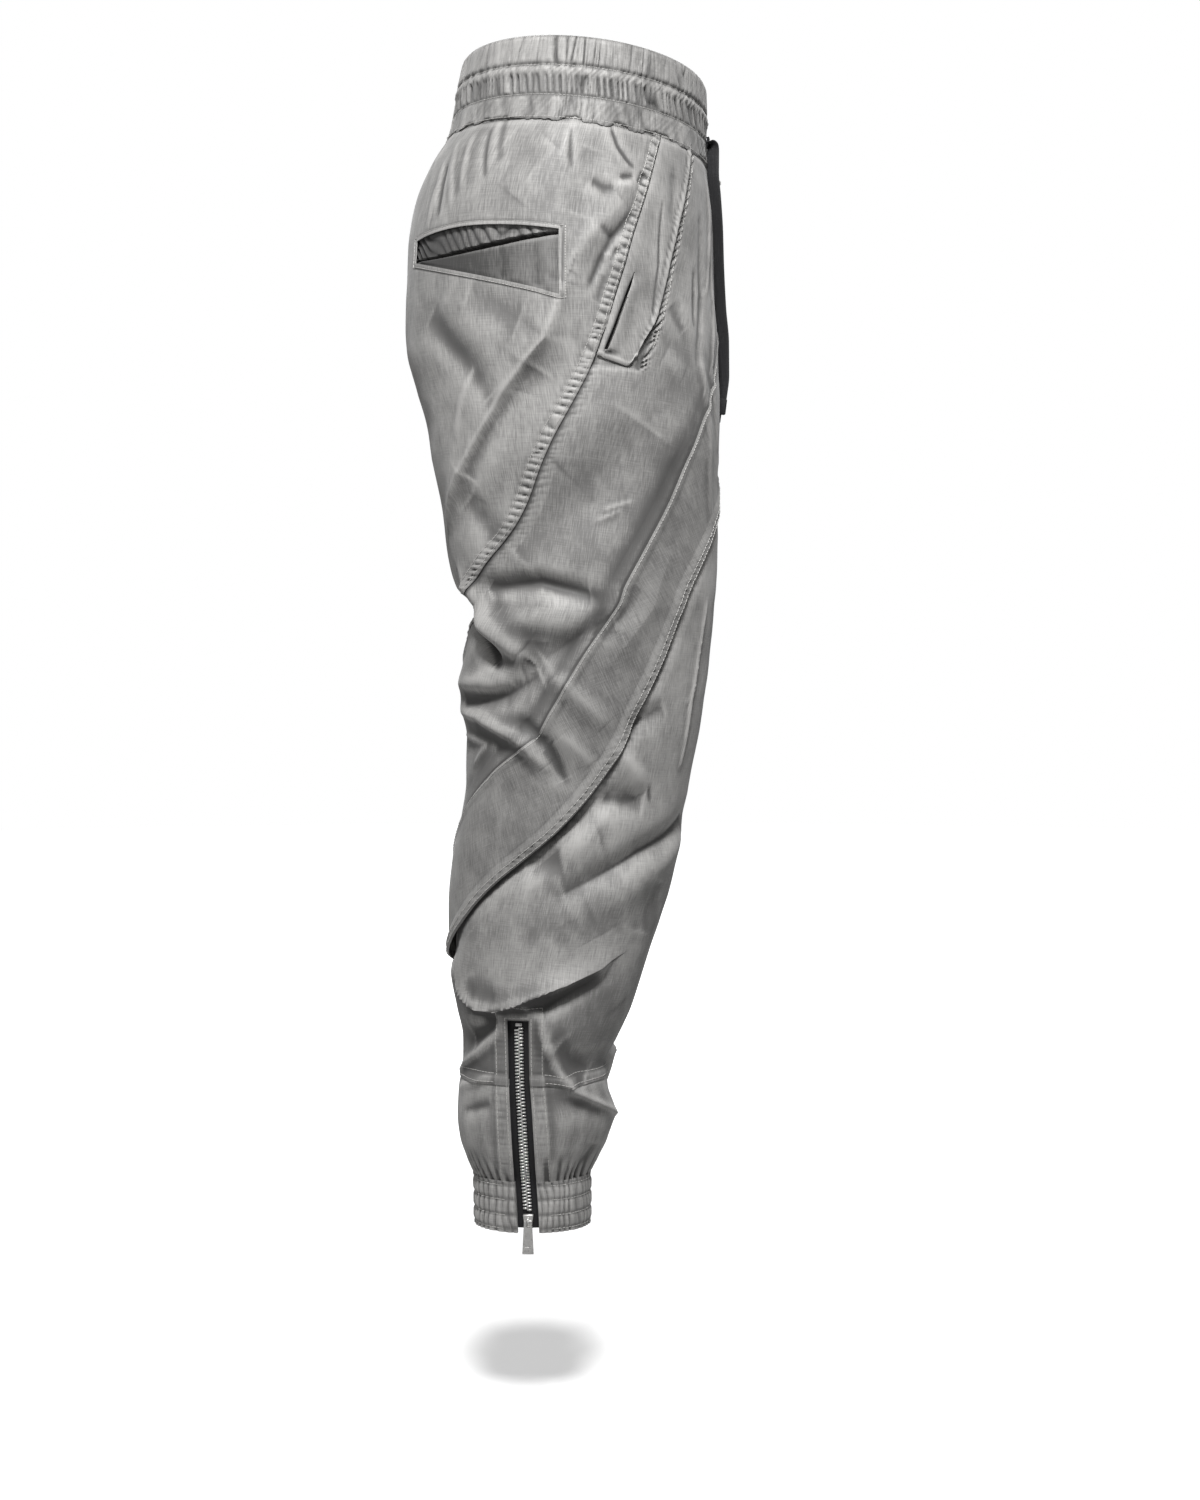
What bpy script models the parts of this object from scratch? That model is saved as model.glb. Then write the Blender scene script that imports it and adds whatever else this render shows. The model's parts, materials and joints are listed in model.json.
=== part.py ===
"""Worn cargo trousers in the jogger cut: gathered waist, seams that spiral round each leg, zipped ankles.

The garment keeps the hollow shape that it has when worn standing. The front faces -Y, its right side is -X and the
origin is the middle of the waist opening. Every cloth piece is a wall cut from one smooth surface, which
garment_point() works out from a table of sections, a table of seams and a table of folds.
"""

import math
from collections import namedtuple

import bmesh
import bpy
from mathutils import Vector

MM = 0.001

# ---------------------------------------------------------------- driving sizes
WALL = 1.6 * MM  # cloth with its turned seam allowances
SEAM_GAP = 0.5 * MM  # along the row, so that a slanted seam keeps about 0.3 mm
HALF_GAP = 0.25 * MM  # each half stays this far from the middle plane
BAND_TOP = 28 * MM
BAND_FOOT = -42 * MM
CUFF_TOP = -894 * MM
HEM = -935 * MM
ANKLE_SEAM = -815 * MM
LEVEL_GAP = 0.4 * MM  # between pieces that meet at one height
FRONT_DROP = 0.096  # the waist is lower in front by this share of the depth
DROP_ENDS = -260 * MM
DROP_FADES = 200 * MM

WAIST_GATHERS = 60
CUFF_GATHERS = 24

ZIP_TOP = -763 * MM
ZIP_FOOT = -931 * MM
ZIP_ANGLE_TOP = -16.0
ZIP_ANGLE_FOOT = -2.0
ZIP_SHOWS = 21 * MM  # width of tape that shows between the cloth edges
ZIP_TAPE_WIDTH = 27 * MM
ZIP_TAPE_DEEP = 4.2 * MM  # under the cloth's outer surface
ZIP_TAPE_OVER = 5 * MM  # the tape starts this far above the opening
TAPE = 0.9 * MM
ANKLE_SLIDER = -925 * MM
SLIDER_OVER_TAPE = 0.5 * MM

FLY_TOP, FLY_FOOT = -45 * MM, -196 * MM
FLY_ZIP_X = -17 * MM
FLY_SLIDER = -54 * MM

CORD_X = 42 * MM
CORD_RADIUS = 2.0 * MM

CLOTH = ("cloth", (0.42, 0.415, 0.405), 0.62, 0.0)
POCKET_CLOTH = ("pocket_cloth", (0.17, 0.168, 0.165), 0.75, 0.0)
TAPE_CLOTH = ("zip_tape", (0.012, 0.012, 0.013), 0.8, 0.0)
CORD_CLOTH = ("drawstring", (0.010, 0.010, 0.012), 0.85, 0.0)
METAL = ("zip_metal", (0.62, 0.60, 0.57), 0.28, 1.0)
DARK_METAL = ("eyelet_metal", (0.10, 0.10, 0.105), 0.35, 1.0)

# ---------------------------------------------------------------- sections of one half, in millimetres
# back and front are how far the section reaches behind and before the origin, outer how far it reaches from the
# middle plane, centre where its middle lies and inner its inner side. A negative inner is cut by the middle plane.
Section = namedtuple("Section", "z back front outer centre inner")
SECTIONS = (
    Section(34, -117, 91, 155, 0, -155),
    Section(0, -124, 92, 158, 0, -158),
    Section(-34, -130, 93, 164, 1, -158),
    Section(-68, -149, 97, 175, 3, -152),
    Section(-100, -160, 99, 183, 8, -145),
    Section(-135, -166, 99, 188, 16, -136),
    Section(-175, -167, 100, 191, 30, -118),
    Section(-215, -164, 101, 193, 48, -78),
    Section(-250, -153, 101, 193, 68, -42),
    Section(-280, -144, 100, 193, 84, -19),
    Section(-305, -140, 99, 192, 93, -5),
    Section(-322, -137, 98, 191, 96, 0.3),
    Section(-350, -131, 98, 190, 97, 2.5),
    Section(-390, -126, 98, 190, 99, 7),
    Section(-415, -119, 97, 190, 101, 10),
    Section(-432, -106, 95, 189, 101, 13),
    Section(-455, -110, 93, 188, 102, 16),
    Section(-492, -115, 89, 187, 104, 21),
    Section(-513, -116, 86, 187, 106, 25),
    Section(-540, -111, 81, 186, 108, 30),
    Section(-575, -111, 74, 185, 110, 35),
    Section(-600, -114, 70, 185, 112, 39),
    Section(-637, -121, 64, 185, 114, 43),
    Section(-680, -125, 52, 185, 116, 47),
    Section(-720, -125, 39, 185, 119, 53),
    Section(-760, -118, 26, 184, 122, 60),
    Section(-785, -112, 14, 182, 124, 66),
    Section(-805, -111, 5, 181, 125, 69),
    Section(-825, -116, 6, 181, 126, 71),
    Section(-845, -117, 12, 182, 127, 72),
    Section(-865, -115, 7, 180, 128, 76),
    Section(-882, -109, -2, 176, 129, 83),
    Section(-895, -104, -8, 172, 130, 89),
    Section(-936, -103, -8, 171, 130, 89),
)

# ---------------------------------------------------------------- seams: height in millimetres, angle in degrees
# The angle runs round a leg: 0 at the outer side, 90 in front, -90 behind, 180 and -180 at the inseam.
SeamPoint = namedtuple("SeamPoint", "z angle")
HIP_SEAM = (
    SeamPoint(-20, 41),
    SeamPoint(-55, 36),
    SeamPoint(-115, 29),
    SeamPoint(-188, 19),
    SeamPoint(-229, 12),
    SeamPoint(-292, -6),
    SeamPoint(-363, -26),
    SeamPoint(-407, -52),
    SeamPoint(-440, -80),
    SeamPoint(-490, -120),
    SeamPoint(-545, -180),
)
POCKET_SEAM = (
    SeamPoint(-20, 60),
    SeamPoint(-91, 50),
    SeamPoint(-147, 43),
    SeamPoint(-192, 37),
    SeamPoint(-245, 26),
)
SWEEP_SEAM = (
    SeamPoint(-170, 101),
    SeamPoint(-205, 84),
    SeamPoint(-271, 62),
    SeamPoint(-342, 41),
    SeamPoint(-379, 29),
    SeamPoint(-463, 1),
    SeamPoint(-531, -20),
    SeamPoint(-565, -47),
    SeamPoint(-597, -75),
    SeamPoint(-650, -108),
    SeamPoint(-700, -148),
    SeamPoint(-730, -180),
)
LAPPED_SEAM = (
    SeamPoint(-268, 136),
    SeamPoint(-302, 117),
    SeamPoint(-342, 90),
    SeamPoint(-369, 72),
    SeamPoint(-427, 48),
    SeamPoint(-491, 34),
    SeamPoint(-555, 18),
    SeamPoint(-610, -5),
    SeamPoint(-651, -32),
    SeamPoint(-705, -74),
    SeamPoint(-735, -128),
    SeamPoint(-755, -180),
)

# ---------------------------------------------------------------- the largest folds
# A fold follows a path of (forward, height) points in millimetres over the outer face of a leg, or over its inner
# face. Depth is its height at the middle, negative for a trough, and lean narrows the side that faces down.
Fold = namedtuple("Fold", "width depth lean path")
OUTER_FOLDS = (
    Fold(15, 9, 0.5, ((-28, -188), (-43, -217), (-77, -259), (-105, -306), (-122, -360))),
    Fold(15, -8, 0.0, ((-52, -241), (-83, -280), (-108, -324))),
    Fold(16, -5, 0.0, ((-140, -215), (-112, -231), (-88, -262))),
    Fold(24, -6, 0.0, ((33, -286), (-8, -345), (-65, -394))),
    Fold(13, -9, 0.0, ((-91, -417), (-49, -413), (-8, -422))),
    Fold(14, 8, 0.2, ((-93, -436), (-45, -436), (3, -451))),
    Fold(15, 8, 0.3, ((-109, -412), (-88, -444), (-64, -469))),
    Fold(12, -9, 0.0, ((-104, -441), (-91, -464), (-77, -483))),
    Fold(13, -7, 0.0, ((10, -441), (-16, -454), (-45, -474))),
    Fold(12, 5, 0.2, ((-116, -493), (-86, -496), (-62, -487))),
    Fold(14, -8, 0.0, ((-112, -511), (-77, -503), (-49, -487))),
    Fold(12, 5, 0.3, ((-112, -522), (-78, -530), (-55, -548))),
    Fold(13, -5, 0.0, ((-65, -532), (-42, -550), (-28, -573))),
    Fold(12, 5, 0.0, ((13, -544), (28, -567), (33, -583))),
    Fold(13, -8, 0.0, ((-2, -587), (34, -588))),
    Fold(14, -5, 0.0, ((23, -529), (52, -513))),
    Fold(14, -8, 0.0, ((72, -604), (33, -630), (-29, -661))),
    Fold(17, 5, 0.2, ((82, -617), (41, -648), (-8, -675))),
    Fold(14, -5, 0.0, ((-59, -640), (-31, -632))),
    Fold(13, 8, 0.4, ((-116, -739), (-101, -748), (-82, -750), (-36, -730), (3, -715))),
    Fold(12, -7, 0.0, ((-106, -762), (-82, -766), (-52, -756), (0, -730))),
    Fold(14, -5, 0.0, ((-36, -785), (-13, -811))),
    Fold(13, 9, 0.2, ((-40, -786), (-21, -820), (11, -844))),
    Fold(13, -6, 0.0, ((-103, -780), (-88, -767))),
    Fold(12, 4, 0.0, ((-116, -811), (-98, -792), (-88, -780))),
)
INNER_FOLDS = (
    Fold(16, -6, 0.0, ((-110, -350), (-40, -385), (40, -372))),
    Fold(16, 7, 0.3, ((-112, -405), (-60, -418), (10, -405))),
    Fold(15, -8, 0.0, ((-112, -440), (-50, -452), (20, -440))),
    Fold(15, 6, 0.3, ((-114, -470), (-40, -488), (40, -466))),
    Fold(16, -6, 0.0, ((-115, -520), (-50, -540), (20, -560))),
    Fold(18, 5, 0.2, ((60, -500), (10, -560), (-50, -600))),
    Fold(18, -6, 0.0, ((55, -590), (0, -640), (-70, -668))),
    Fold(16, 7, 0.3, ((-118, -700), (-60, -728), (0, -712))),
    Fold(14, -6, 0.0, ((-114, -752), (-60, -762), (-10, -742))),
    Fold(14, 6, 0.3, ((-110, -800), (-60, -786), (-5, -806))),
    Fold(15, -4, 0.0, ((-108, -850), (-50, -862), (-10, -850))),
)
SIDES = {"right": -1, "left": 1}
LEFT_SHIFT = 11.0  # how far the left leg's folds lie above or below the right one's, in millimetres
FOLD_FADE = 34 * MM  # folds die out this near the middle plane
FLAT_ABOVE = -170 * MM  # above this height the cloth hangs smooth from the band
FLAT_FADE = 40 * MM
ZIP_CALM = 13 * MM  # folds die out this near the zip, from a little above it
ZIP_CALM_TOP = ZIP_TOP + 16 * MM

# ---------------------------------------------------------------- rows and columns of the panels
ROW_HEIGHTS = (
    -42, -57, -74, -93, -113, -134, -159, -184, -206, -227, -247, -263, -278, -291, -302, -311, -318, -322,
    -334, -352, -372, -391, -409, -426, -444, -464, -486, -510, -534, -556, -578, -602, -626, -650, -676, -702,
    -724, -744, -763, -782, -799, -815,
)
HIP_COLUMNS, SIDE_COLUMNS, SWEEP_COLUMNS, LEG_COLUMNS = 9, 8, 5, 14
POCKET_COLUMN = 3
NOTCH_AIMS = -705 * MM  # below this the lower leg's columns turn towards the edges of the zip's notch
NOTCH_AIMS_OVER = 60 * MM
THIN_ENOUGH = 1.2 * MM  # a panel starts and ends where it is this narrow

WINDOW_TOP_ROW, WINDOW_FOOT_ROW = 5, 7
WINDOW_COLUMNS = (2, 7)
WINDOW_SHARES = (0.25, 0.782)
WINDOW_RISE = 31 * MM  # the pocket's lower edge climbs this much towards the back
RISE_BY_ROW = {6: 0.55, 7: 1.0, 8: 0.72, 9: 0.42, 10: 0.18}
LIP = 1.0 * MM  # the wall of the pocket's lip and of its bag
BEHIND = 0.5 * MM  # between one layer of cloth and the next
BAG_BEHIND_LIP = 1.4 * MM
MOUTH_BEHIND, MOUTH_FALL = 0.92, 0.8  # the lip's upper edge, as shares of the window's height
LIP_OVERLAP = 0.4  # the lip reaches this share of a row below the window

POCKET_WALL = 1.2 * MM
POCKET_OUTSIDE = 1.6 * MM  # how far the front pocket's patch stands out
POCKET_GAPE = 2.6 * MM
POCKET_SHUT_ROWS = 3


# ---------------------------------------------------------------- small maths
def smooth_curve(xs, ys):
    """A smooth function through the points, with x falling or rising. Past the ends it keeps the end value."""
    if xs[0] > xs[-1]:
        xs, ys = xs[::-1], ys[::-1]
    steps = [(ys[i + 1] - ys[i]) / (xs[i + 1] - xs[i]) for i in range(len(xs) - 1)]
    slopes = [steps[0]]
    for before, after in zip(steps, steps[1:]):
        slopes.append(0.0 if before * after <= 0 else 2 * before * after / (before + after))
    slopes.append(steps[-1])

    def value(x):
        if x <= xs[0]:
            return ys[0]
        if x >= xs[-1]:
            return ys[-1]
        i = max(k for k in range(len(xs) - 1) if xs[k] <= x)
        width = xs[i + 1] - xs[i]
        t = (x - xs[i]) / width
        rise = ys[i + 1] - ys[i]
        curve = slopes[i] * width * t * (1 - t) ** 2 - slopes[i + 1] * width * t * t * (1 - t)
        return ys[i] + rise * t * t * (3 - 2 * t) + curve

    return value


def smoothstep(x):
    t = min(1.0, max(0.0, x))
    return t * t * (3 - 2 * t)


def section_curves():
    heights = [s.z * MM for s in SECTIONS]
    names = ("back", "front", "outer", "centre", "inner")
    return {n: smooth_curve(heights, [getattr(s, n) * MM for s in SECTIONS]) for n in names}


def seam_curve(points):
    return smooth_curve([p.z * MM for p in points], [p.angle for p in points])


SECTION_AT = section_curves()
HIP_AT = seam_curve(HIP_SEAM)
POCKET_AT = seam_curve(POCKET_SEAM)
SWEEP_AT = seam_curve(SWEEP_SEAM)
LAPPED_AT = seam_curve(LAPPED_SEAM)


# ---------------------------------------------------------------- the garment's surface
def section(z):
    return {name: curve(z) for name, curve in SECTION_AT.items()}


def middle_angle(z):
    """The angle at which a section meets the middle plane, or 180 where it closes at the inseam."""
    s = section(z)
    if s["inner"] >= 0:
        return 180.0
    reach = s["centre"] - s["inner"]
    return math.degrees(math.acos(max(-1.0, min(1.0, -s["centre"] / reach))))


def smooth_point(angle, z):
    """(out, forward, direction out, direction forward, mean radius) of the surface without its folds."""
    s = section(z)
    turn = math.radians(angle)
    c, f = math.cos(turn), math.sin(turn)
    across = s["outer"] - s["centre"] if c > 0 else s["centre"] - s["inner"]
    depth = (s["front"] - s["back"]) / 2
    middle = (s["front"] + s["back"]) / 2
    out, forward = s["centre"] + across * c, middle + depth * f
    steer = Vector((c / across, f / depth)).normalized()
    return out, forward, steer.x, steer.y, (s["outer"] - s["centre"] + depth) / 2


def zip_angle(z):
    share = (ZIP_TOP - z) / (ZIP_TOP - ZIP_FOOT)
    return ZIP_ANGLE_TOP + (ZIP_ANGLE_FOOT - ZIP_ANGLE_TOP) * min(1.0, max(0.0, share))


def face_angle(forward, z, inner):
    """The angle at which the outer or inner face of a leg reaches a forward place."""
    s = section(z)
    depth, middle = (s["front"] - s["back"]) / 2, (s["front"] + s["back"]) / 2
    angle = math.degrees(math.asin(max(-0.998, min(0.998, (forward - middle) / depth))))
    return 180 - angle if inner else angle


def lay_fold(fold, inner, shift, share):
    """A fold as its middle angle, the radius there and its path as flat points, with its sizes in metres."""
    path = [(face_angle(f * MM, (z + shift) * MM, inner), (z + shift) * MM) for f, z in fold.path]
    middle = (min(a for a, _ in path) + max(a for a, _ in path)) / 2
    radius = smooth_point(0, (path[0][1] + path[-1][1]) / 2)[4]
    flat = [Vector((math.radians(a - middle) * radius, z)) for a, z in path]
    return middle, radius, flat, fold.width * MM, fold.depth * MM * share, fold.lean


def folds_of(side):
    """Both legs have the same folds, but the left one's are shifted up and down and a little deeper or flatter."""
    laid = []
    for inner, table in ((False, OUTER_FOLDS), (True, INNER_FOLDS)):
        for i, fold in enumerate(table):
            left = side == "left"
            shift = LEFT_SHIFT * math.sin(2.3 * i) if left else 0.0
            share = 0.9 + 0.2 * math.cos(1.7 * i) if left else 1.0
            laid.append(lay_fold(fold, inner, shift, share))
    return laid


def height_over_fold(laid, angle, z):
    middle, radius, flat, width, depth, lean = laid
    zs = [p.y for p in flat]
    if not min(zs) - 3 * width < z < max(zs) + 3 * width:
        return 0.0
    here = Vector((math.radians((angle - middle + 180) % 360 - 180) * radius, z))
    lengths = [(b - a).length for a, b in zip(flat, flat[1:])]
    nearest = None
    for i, (a, b) in enumerate(zip(flat, flat[1:])):
        run = b - a
        share = min(1.0, max(0.0, (here - a).dot(run) / run.length_squared))
        off = here - (a + run * share)
        down = Vector((run.y, -run.x)) if run.x > 0 else Vector((-run.y, run.x))
        narrow = 1 - lean if off.dot(down) > 0 else 1.0
        reach = off.length / (width * narrow)
        if nearest is None or reach < nearest[0]:
            nearest = (reach, (sum(lengths[:i]) + share * lengths[i]) / sum(lengths))
    reach, along = nearest
    return depth * math.exp(-reach * reach) * (0.35 + 0.65 * math.sqrt(math.sin(math.pi * along) + 1e-9))


def fold_height(side, angle, z):
    return sum(height_over_fold(laid, angle, z) for laid in FOLDS[side])


FOLDS = {side: folds_of(side) for side in SIDES}


def garment_point(side, angle, z):
    """A point of the cloth's outer surface."""
    out, forward, steer_out, steer_forward, radius = smooth_point(angle, z)
    calm = smoothstep(out / FOLD_FADE) * smoothstep((FLAT_ABOVE - z) / FLAT_FADE)
    beside_zip = abs(math.radians(angle - zip_angle(z))) * radius
    calm *= 1 - smoothstep((ZIP_CALM_TOP - z) / ZIP_CALM) * (1 - smoothstep((beside_zip - ZIP_CALM) / ZIP_CALM))
    height = fold_height(side, angle, z) * calm if calm > 0 else 0.0
    out = max(out + steer_out * height, HALF_GAP if abs(angle) > 89 else 0.0)
    forward += steer_forward * height
    drop = FRONT_DROP * smoothstep((z - DROP_ENDS) / DROP_FADES)
    return Vector((SIDES[side] * out, -forward, z - forward * drop))


def garment_normal(side, angle, z):
    turn, fall = 1.5, 3 * MM
    along = garment_point(side, angle + turn, z) - garment_point(side, angle - turn, z)
    down = garment_point(side, angle, z - fall) - garment_point(side, angle, z + fall)
    return (down.cross(along) * -SIDES[side]).normalized()


def angle_share(length, z):
    """How many degrees a length is, measured round the section at that height."""
    return math.degrees(length / smooth_point(0, z)[4])


# ---------------------------------------------------------------- objects
def clear_scene():
    for obj in list(bpy.data.objects):
        bpy.data.objects.remove(obj)


def material(kind):
    name, colour, roughness, metallic = kind
    found = bpy.data.materials.get(name)
    if found:
        return found
    made = bpy.data.materials.new(name)
    made.use_nodes = True
    shader = made.node_tree.nodes["Principled BSDF"]
    shader.inputs["Base Color"].default_value = (*colour, 1)
    shader.inputs["Roughness"].default_value = roughness
    shader.inputs["Metallic"].default_value = metallic
    made.diffuse_color = (*colour, 1)
    return made


def add_object(name, mesh, kind, smooth=True):
    obj = bpy.data.objects.new(name, mesh)
    bpy.context.scene.collection.objects.link(obj)
    mesh.materials.append(material(kind))
    if smooth:
        mesh.shade_smooth()
        mesh.set_sharp_from_angle(angle=math.radians(40))
    return obj


def object_from(bm, name, kind, smooth=True):
    """Makes an object of a finished bmesh, its faces pointing out."""
    if bm.calc_volume(signed=True) < 0:
        bmesh.ops.reverse_faces(bm, faces=bm.faces)
    mesh = bpy.data.meshes.new(name)
    bm.to_mesh(mesh)
    bm.free()
    return add_object(name, mesh, kind, smooth)


def wall_from_sheets(name, outer, inner, kind, missing=()):
    """A closed wall between two grids of points, with cells left out where missing says so."""
    bm = bmesh.new()
    skins = []
    for sheet in (outer, inner):
        skins.append([[bm.verts.new(p) for p in row] for row in sheet])
    rows, columns = len(outer), len(outer[0])
    present = {(i, j) for i in range(rows - 1) for j in range(columns - 1)} - set(missing)
    for i, j in sorted(present):
        corners = ((i, j), (i, j + 1), (i + 1, j + 1), (i + 1, j))
        bm.faces.new([skins[0][a][b] for a, b in corners])
        bm.faces.new([skins[1][a][b] for a, b in reversed(corners)])
        beside = ((i - 1, j), (i, j + 1), (i + 1, j), (i, j - 1))
        for n, other in enumerate(beside):
            if other not in present:
                (a, b), (c, d) = corners[n], corners[(n + 1) % 4]
                bm.faces.new((skins[0][c][d], skins[0][a][b], skins[1][a][b], skins[1][c][d]))
    loose = [v for v in bm.verts if not v.link_faces]
    bmesh.ops.delete(bm, geom=loose, context="VERTS")
    bmesh.ops.triangulate(bm, faces=bm.faces, quad_method="SHORT_EDGE")
    return object_from(bm, name, kind)


def lay_out(side, chart, level_rows=()):
    """The surface points of a grid of (angle, height), each with its normal, which is level in some rows."""
    laid = [[(garment_point(side, *at), garment_normal(side, *at)) for at in row] for row in chart]
    for i in level_rows:
        laid[i] = [(point, level(normal)) for point, normal in laid[i]]
    return laid


def level(direction):
    return Vector((direction.x, direction.y, 0)).normalized()


def between(laid, row, column):
    """A point and normal part of the way down a column of a laid-out grid, on the grid's own facets."""
    i = min(int(row), len(laid) - 2)
    share = row - i
    (p, n), (q, m) = laid[i][column], laid[i + 1][column]
    return p.lerp(q, share), n.lerp(m, share).normalized()


def wall_from_laid(name, laid, kind, outside=0.0, thick=WALL, missing=(), lift=None):
    """A wall over laid-out points, its outer skin at outside from the surface."""
    outer, inner = [], []
    for i, row in enumerate(laid):
        outer.append([])
        inner.append([])
        for j, (point, normal) in enumerate(row):
            skin = point + normal * (outside + (lift(i, j) if lift else 0.0))
            outer[-1].append(skin)
            inner[-1].append(skin - normal * thick)
    return wall_from_sheets(name, outer, inner, kind, missing=missing)


def wall_from_chart(name, side, chart, kind, level_rows=(), **options):
    return wall_from_laid(name, lay_out(side, chart, level_rows), kind, **options)


# ---------------------------------------------------------------- the spiral panels of a leg
def clamp(angle, z):
    edge = middle_angle(z)
    return min(edge, max(-edge, angle))


def panel_edges(kind, z):
    """The angles of a panel's back and front edge at a height, without the seam gap."""
    edge = middle_angle(z)
    hip = clamp(HIP_AT(z), z) if z > HIP_SEAM[-1].z * MM else -edge
    sweep = clamp(SWEEP_AT(z), z) if z > SWEEP_SEAM[-1].z * MM else -edge
    lapped = clamp(LAPPED_AT(z), z) if z > LAPPED_SEAM[-1].z * MM else -edge
    if z > SWEEP_SEAM[0].z * MM:
        sweep = edge
    if z > LAPPED_SEAM[0].z * MM:
        lapped = edge
    return {
        "hip": (-edge, hip),
        "side": (hip, sweep),
        "sweep": (sweep, lapped),
        "leg": (lapped, edge),
    }[kind]


def panel_chart(kind, columns, shares=None):
    """Rows of (angle, height) over a panel, from where it starts to where it ends."""
    chart = []
    for height in ROW_HEIGHTS:
        z = height * MM
        back, front = panel_edges(kind, z)
        inset = angle_share(SEAM_GAP / 2, z)
        if math.radians(front - back) * smooth_point(0, z)[4] < THIN_ENOUGH + SEAM_GAP:
            if chart:
                break
            continue
        if not chart:
            z -= LEVEL_GAP / 2
        back, front = back + inset, front - inset
        row = []
        for j in range(columns + 1):
            share = shares(j, z) if shares else j / columns
            row.append((back + (front - back) * share, z))
        chart.append(row)
    return chart


def hip_share(j, _z):
    """The hip panel's columns run along the sides of the back pocket's window."""
    first, last = WINDOW_COLUMNS
    low, high = WINDOW_SHARES
    if j <= first:
        return low * j / first
    if j <= last:
        return low + (high - low) * (j - first) / (last - first)
    return high + (1 - high) * (j - last) / (HIP_COLUMNS - last)


def side_share(j, z):
    """The side panel's fourth column line is the pocket's front seam."""
    back, front = panel_edges("side", max(z, POCKET_SEAM[-1].z * MM))
    pocket = (POCKET_AT(z) - back) / (front - back)
    if j <= POCKET_COLUMN:
        return pocket * j / POCKET_COLUMN
    return pocket + (1 - pocket) * (j - POCKET_COLUMN) / (SIDE_COLUMNS - POCKET_COLUMN)


def make_hip_panel(side):
    """The back panel, with the window of its pocket, the cloth inside the pocket and its lower lip.

    The lip's upper edge slants down the window, from close under its top in front to close above its foot behind.
    """
    chart = panel_chart("hip", HIP_COLUMNS, hip_share)
    first, last = WINDOW_COLUMNS
    for i, rise in RISE_BY_ROW.items():
        for j, (angle, z) in enumerate(chart[i]):
            towards_back = min(1.0, max(0.0, (last - j) / (last - first)))
            chart[i][j] = (angle, z + WINDOW_RISE * rise * towards_back)
    window = [(i, j) for i in range(WINDOW_TOP_ROW, WINDOW_FOOT_ROW) for j in range(first, last)]
    laid = lay_out(side, chart)
    wall_from_laid(f"{side}_back_panel", laid, CLOTH, missing=window)

    behind = [row[first - 1:last + 2] for row in laid[WINDOW_TOP_ROW - 1:WINDOW_FOOT_ROW + 2]]
    deep = WALL + BEHIND + LIP + BAG_BEHIND_LIP
    wall_from_laid(f"{side}_back_pocket_bag", behind, POCKET_CLOTH, outside=-deep, thick=LIP)

    lip = [[] for _ in range(4)]
    for j in range(first - 1, last + 2):
        across = min(1.0, max(0.0, (j - first) / (last - first)))
        mouth = WINDOW_TOP_ROW + (WINDOW_FOOT_ROW - WINDOW_TOP_ROW) * (MOUTH_BEHIND - MOUTH_FALL * across)
        middle = max((mouth + WINDOW_FOOT_ROW) / 2, WINDOW_TOP_ROW + 1)
        for line, row in zip(lip, (mouth, middle, WINDOW_FOOT_ROW, WINDOW_FOOT_ROW + LIP_OVERLAP)):
            line.append(between(laid, row, j))
    wall_from_laid(f"{side}_back_pocket_lip", lip, CLOTH, outside=-WALL - BEHIND, thick=LIP)


def make_side_panel(side):
    """The side panel, and the front pocket's panel that lies on its upper back part with an open edge."""
    chart = panel_chart("side", SIDE_COLUMNS, side_share)
    wall_from_chart(f"{side}_side_panel", side, chart, CLOTH)
    foot_row = max(i for i, row in enumerate(chart) if row[0][1] >= POCKET_SEAM[-1].z * MM - 2 * MM)
    patch = [row[:POCKET_COLUMN + 1] for row in chart[:foot_row + 1]]

    def gape(i, j):
        open_here = smoothstep((i - POCKET_SHUT_ROWS) / 3) if i < len(patch) - 1 else 0.0
        return POCKET_GAPE * open_here * max(0.0, 1 - j / 1.5)

    name = f"{side}_front_pocket"
    wall_from_chart(name, side, patch, CLOTH, outside=POCKET_OUTSIDE, thick=POCKET_WALL, lift=gape)


# ---------------------------------------------------------------- ankle: zip opening, panel and cuff
def make_leg_panel(side):
    """The lower leg, which starts as a tip at the crotch seam and ends at the ankle seam, notched for the zip."""
    columns, notch = LEG_COLUMNS, LEG_COLUMNS // 2
    chart = panel_chart("leg", columns)
    notch_rows = [i for i, row in enumerate(chart) if row[0][1] <= ZIP_TOP + 0.1 * MM]
    for i, row in enumerate(chart):
        z = row[0][1]
        grip = 1.0 if i >= notch_rows[0] else smoothstep((NOTCH_AIMS - z) / NOTCH_AIMS_OVER)
        half = angle_share(ZIP_SHOWS / 2, z)
        low, high = zip_angle(z) - half, zip_angle(z) + half
        for j in range(columns + 1):
            if j <= notch:
                aim = row[0][0] + (low - row[0][0]) * j / notch
            else:
                aim = high + (row[-1][0] - high) * (j - notch - 1) / (columns - notch - 1)
            row[j] = (row[j][0] + (aim - row[j][0]) * grip, z)
    foot = chart[-1][0][1]
    chart[-1] = [(angle, foot + LEVEL_GAP / 2) for angle, _ in chart[-1]]
    missing = [(i, notch) for i in notch_rows[:-1]]
    wall_from_chart(f"{side}_lower_leg", side, chart, CLOTH, level_rows=(-1,), missing=missing)


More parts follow.
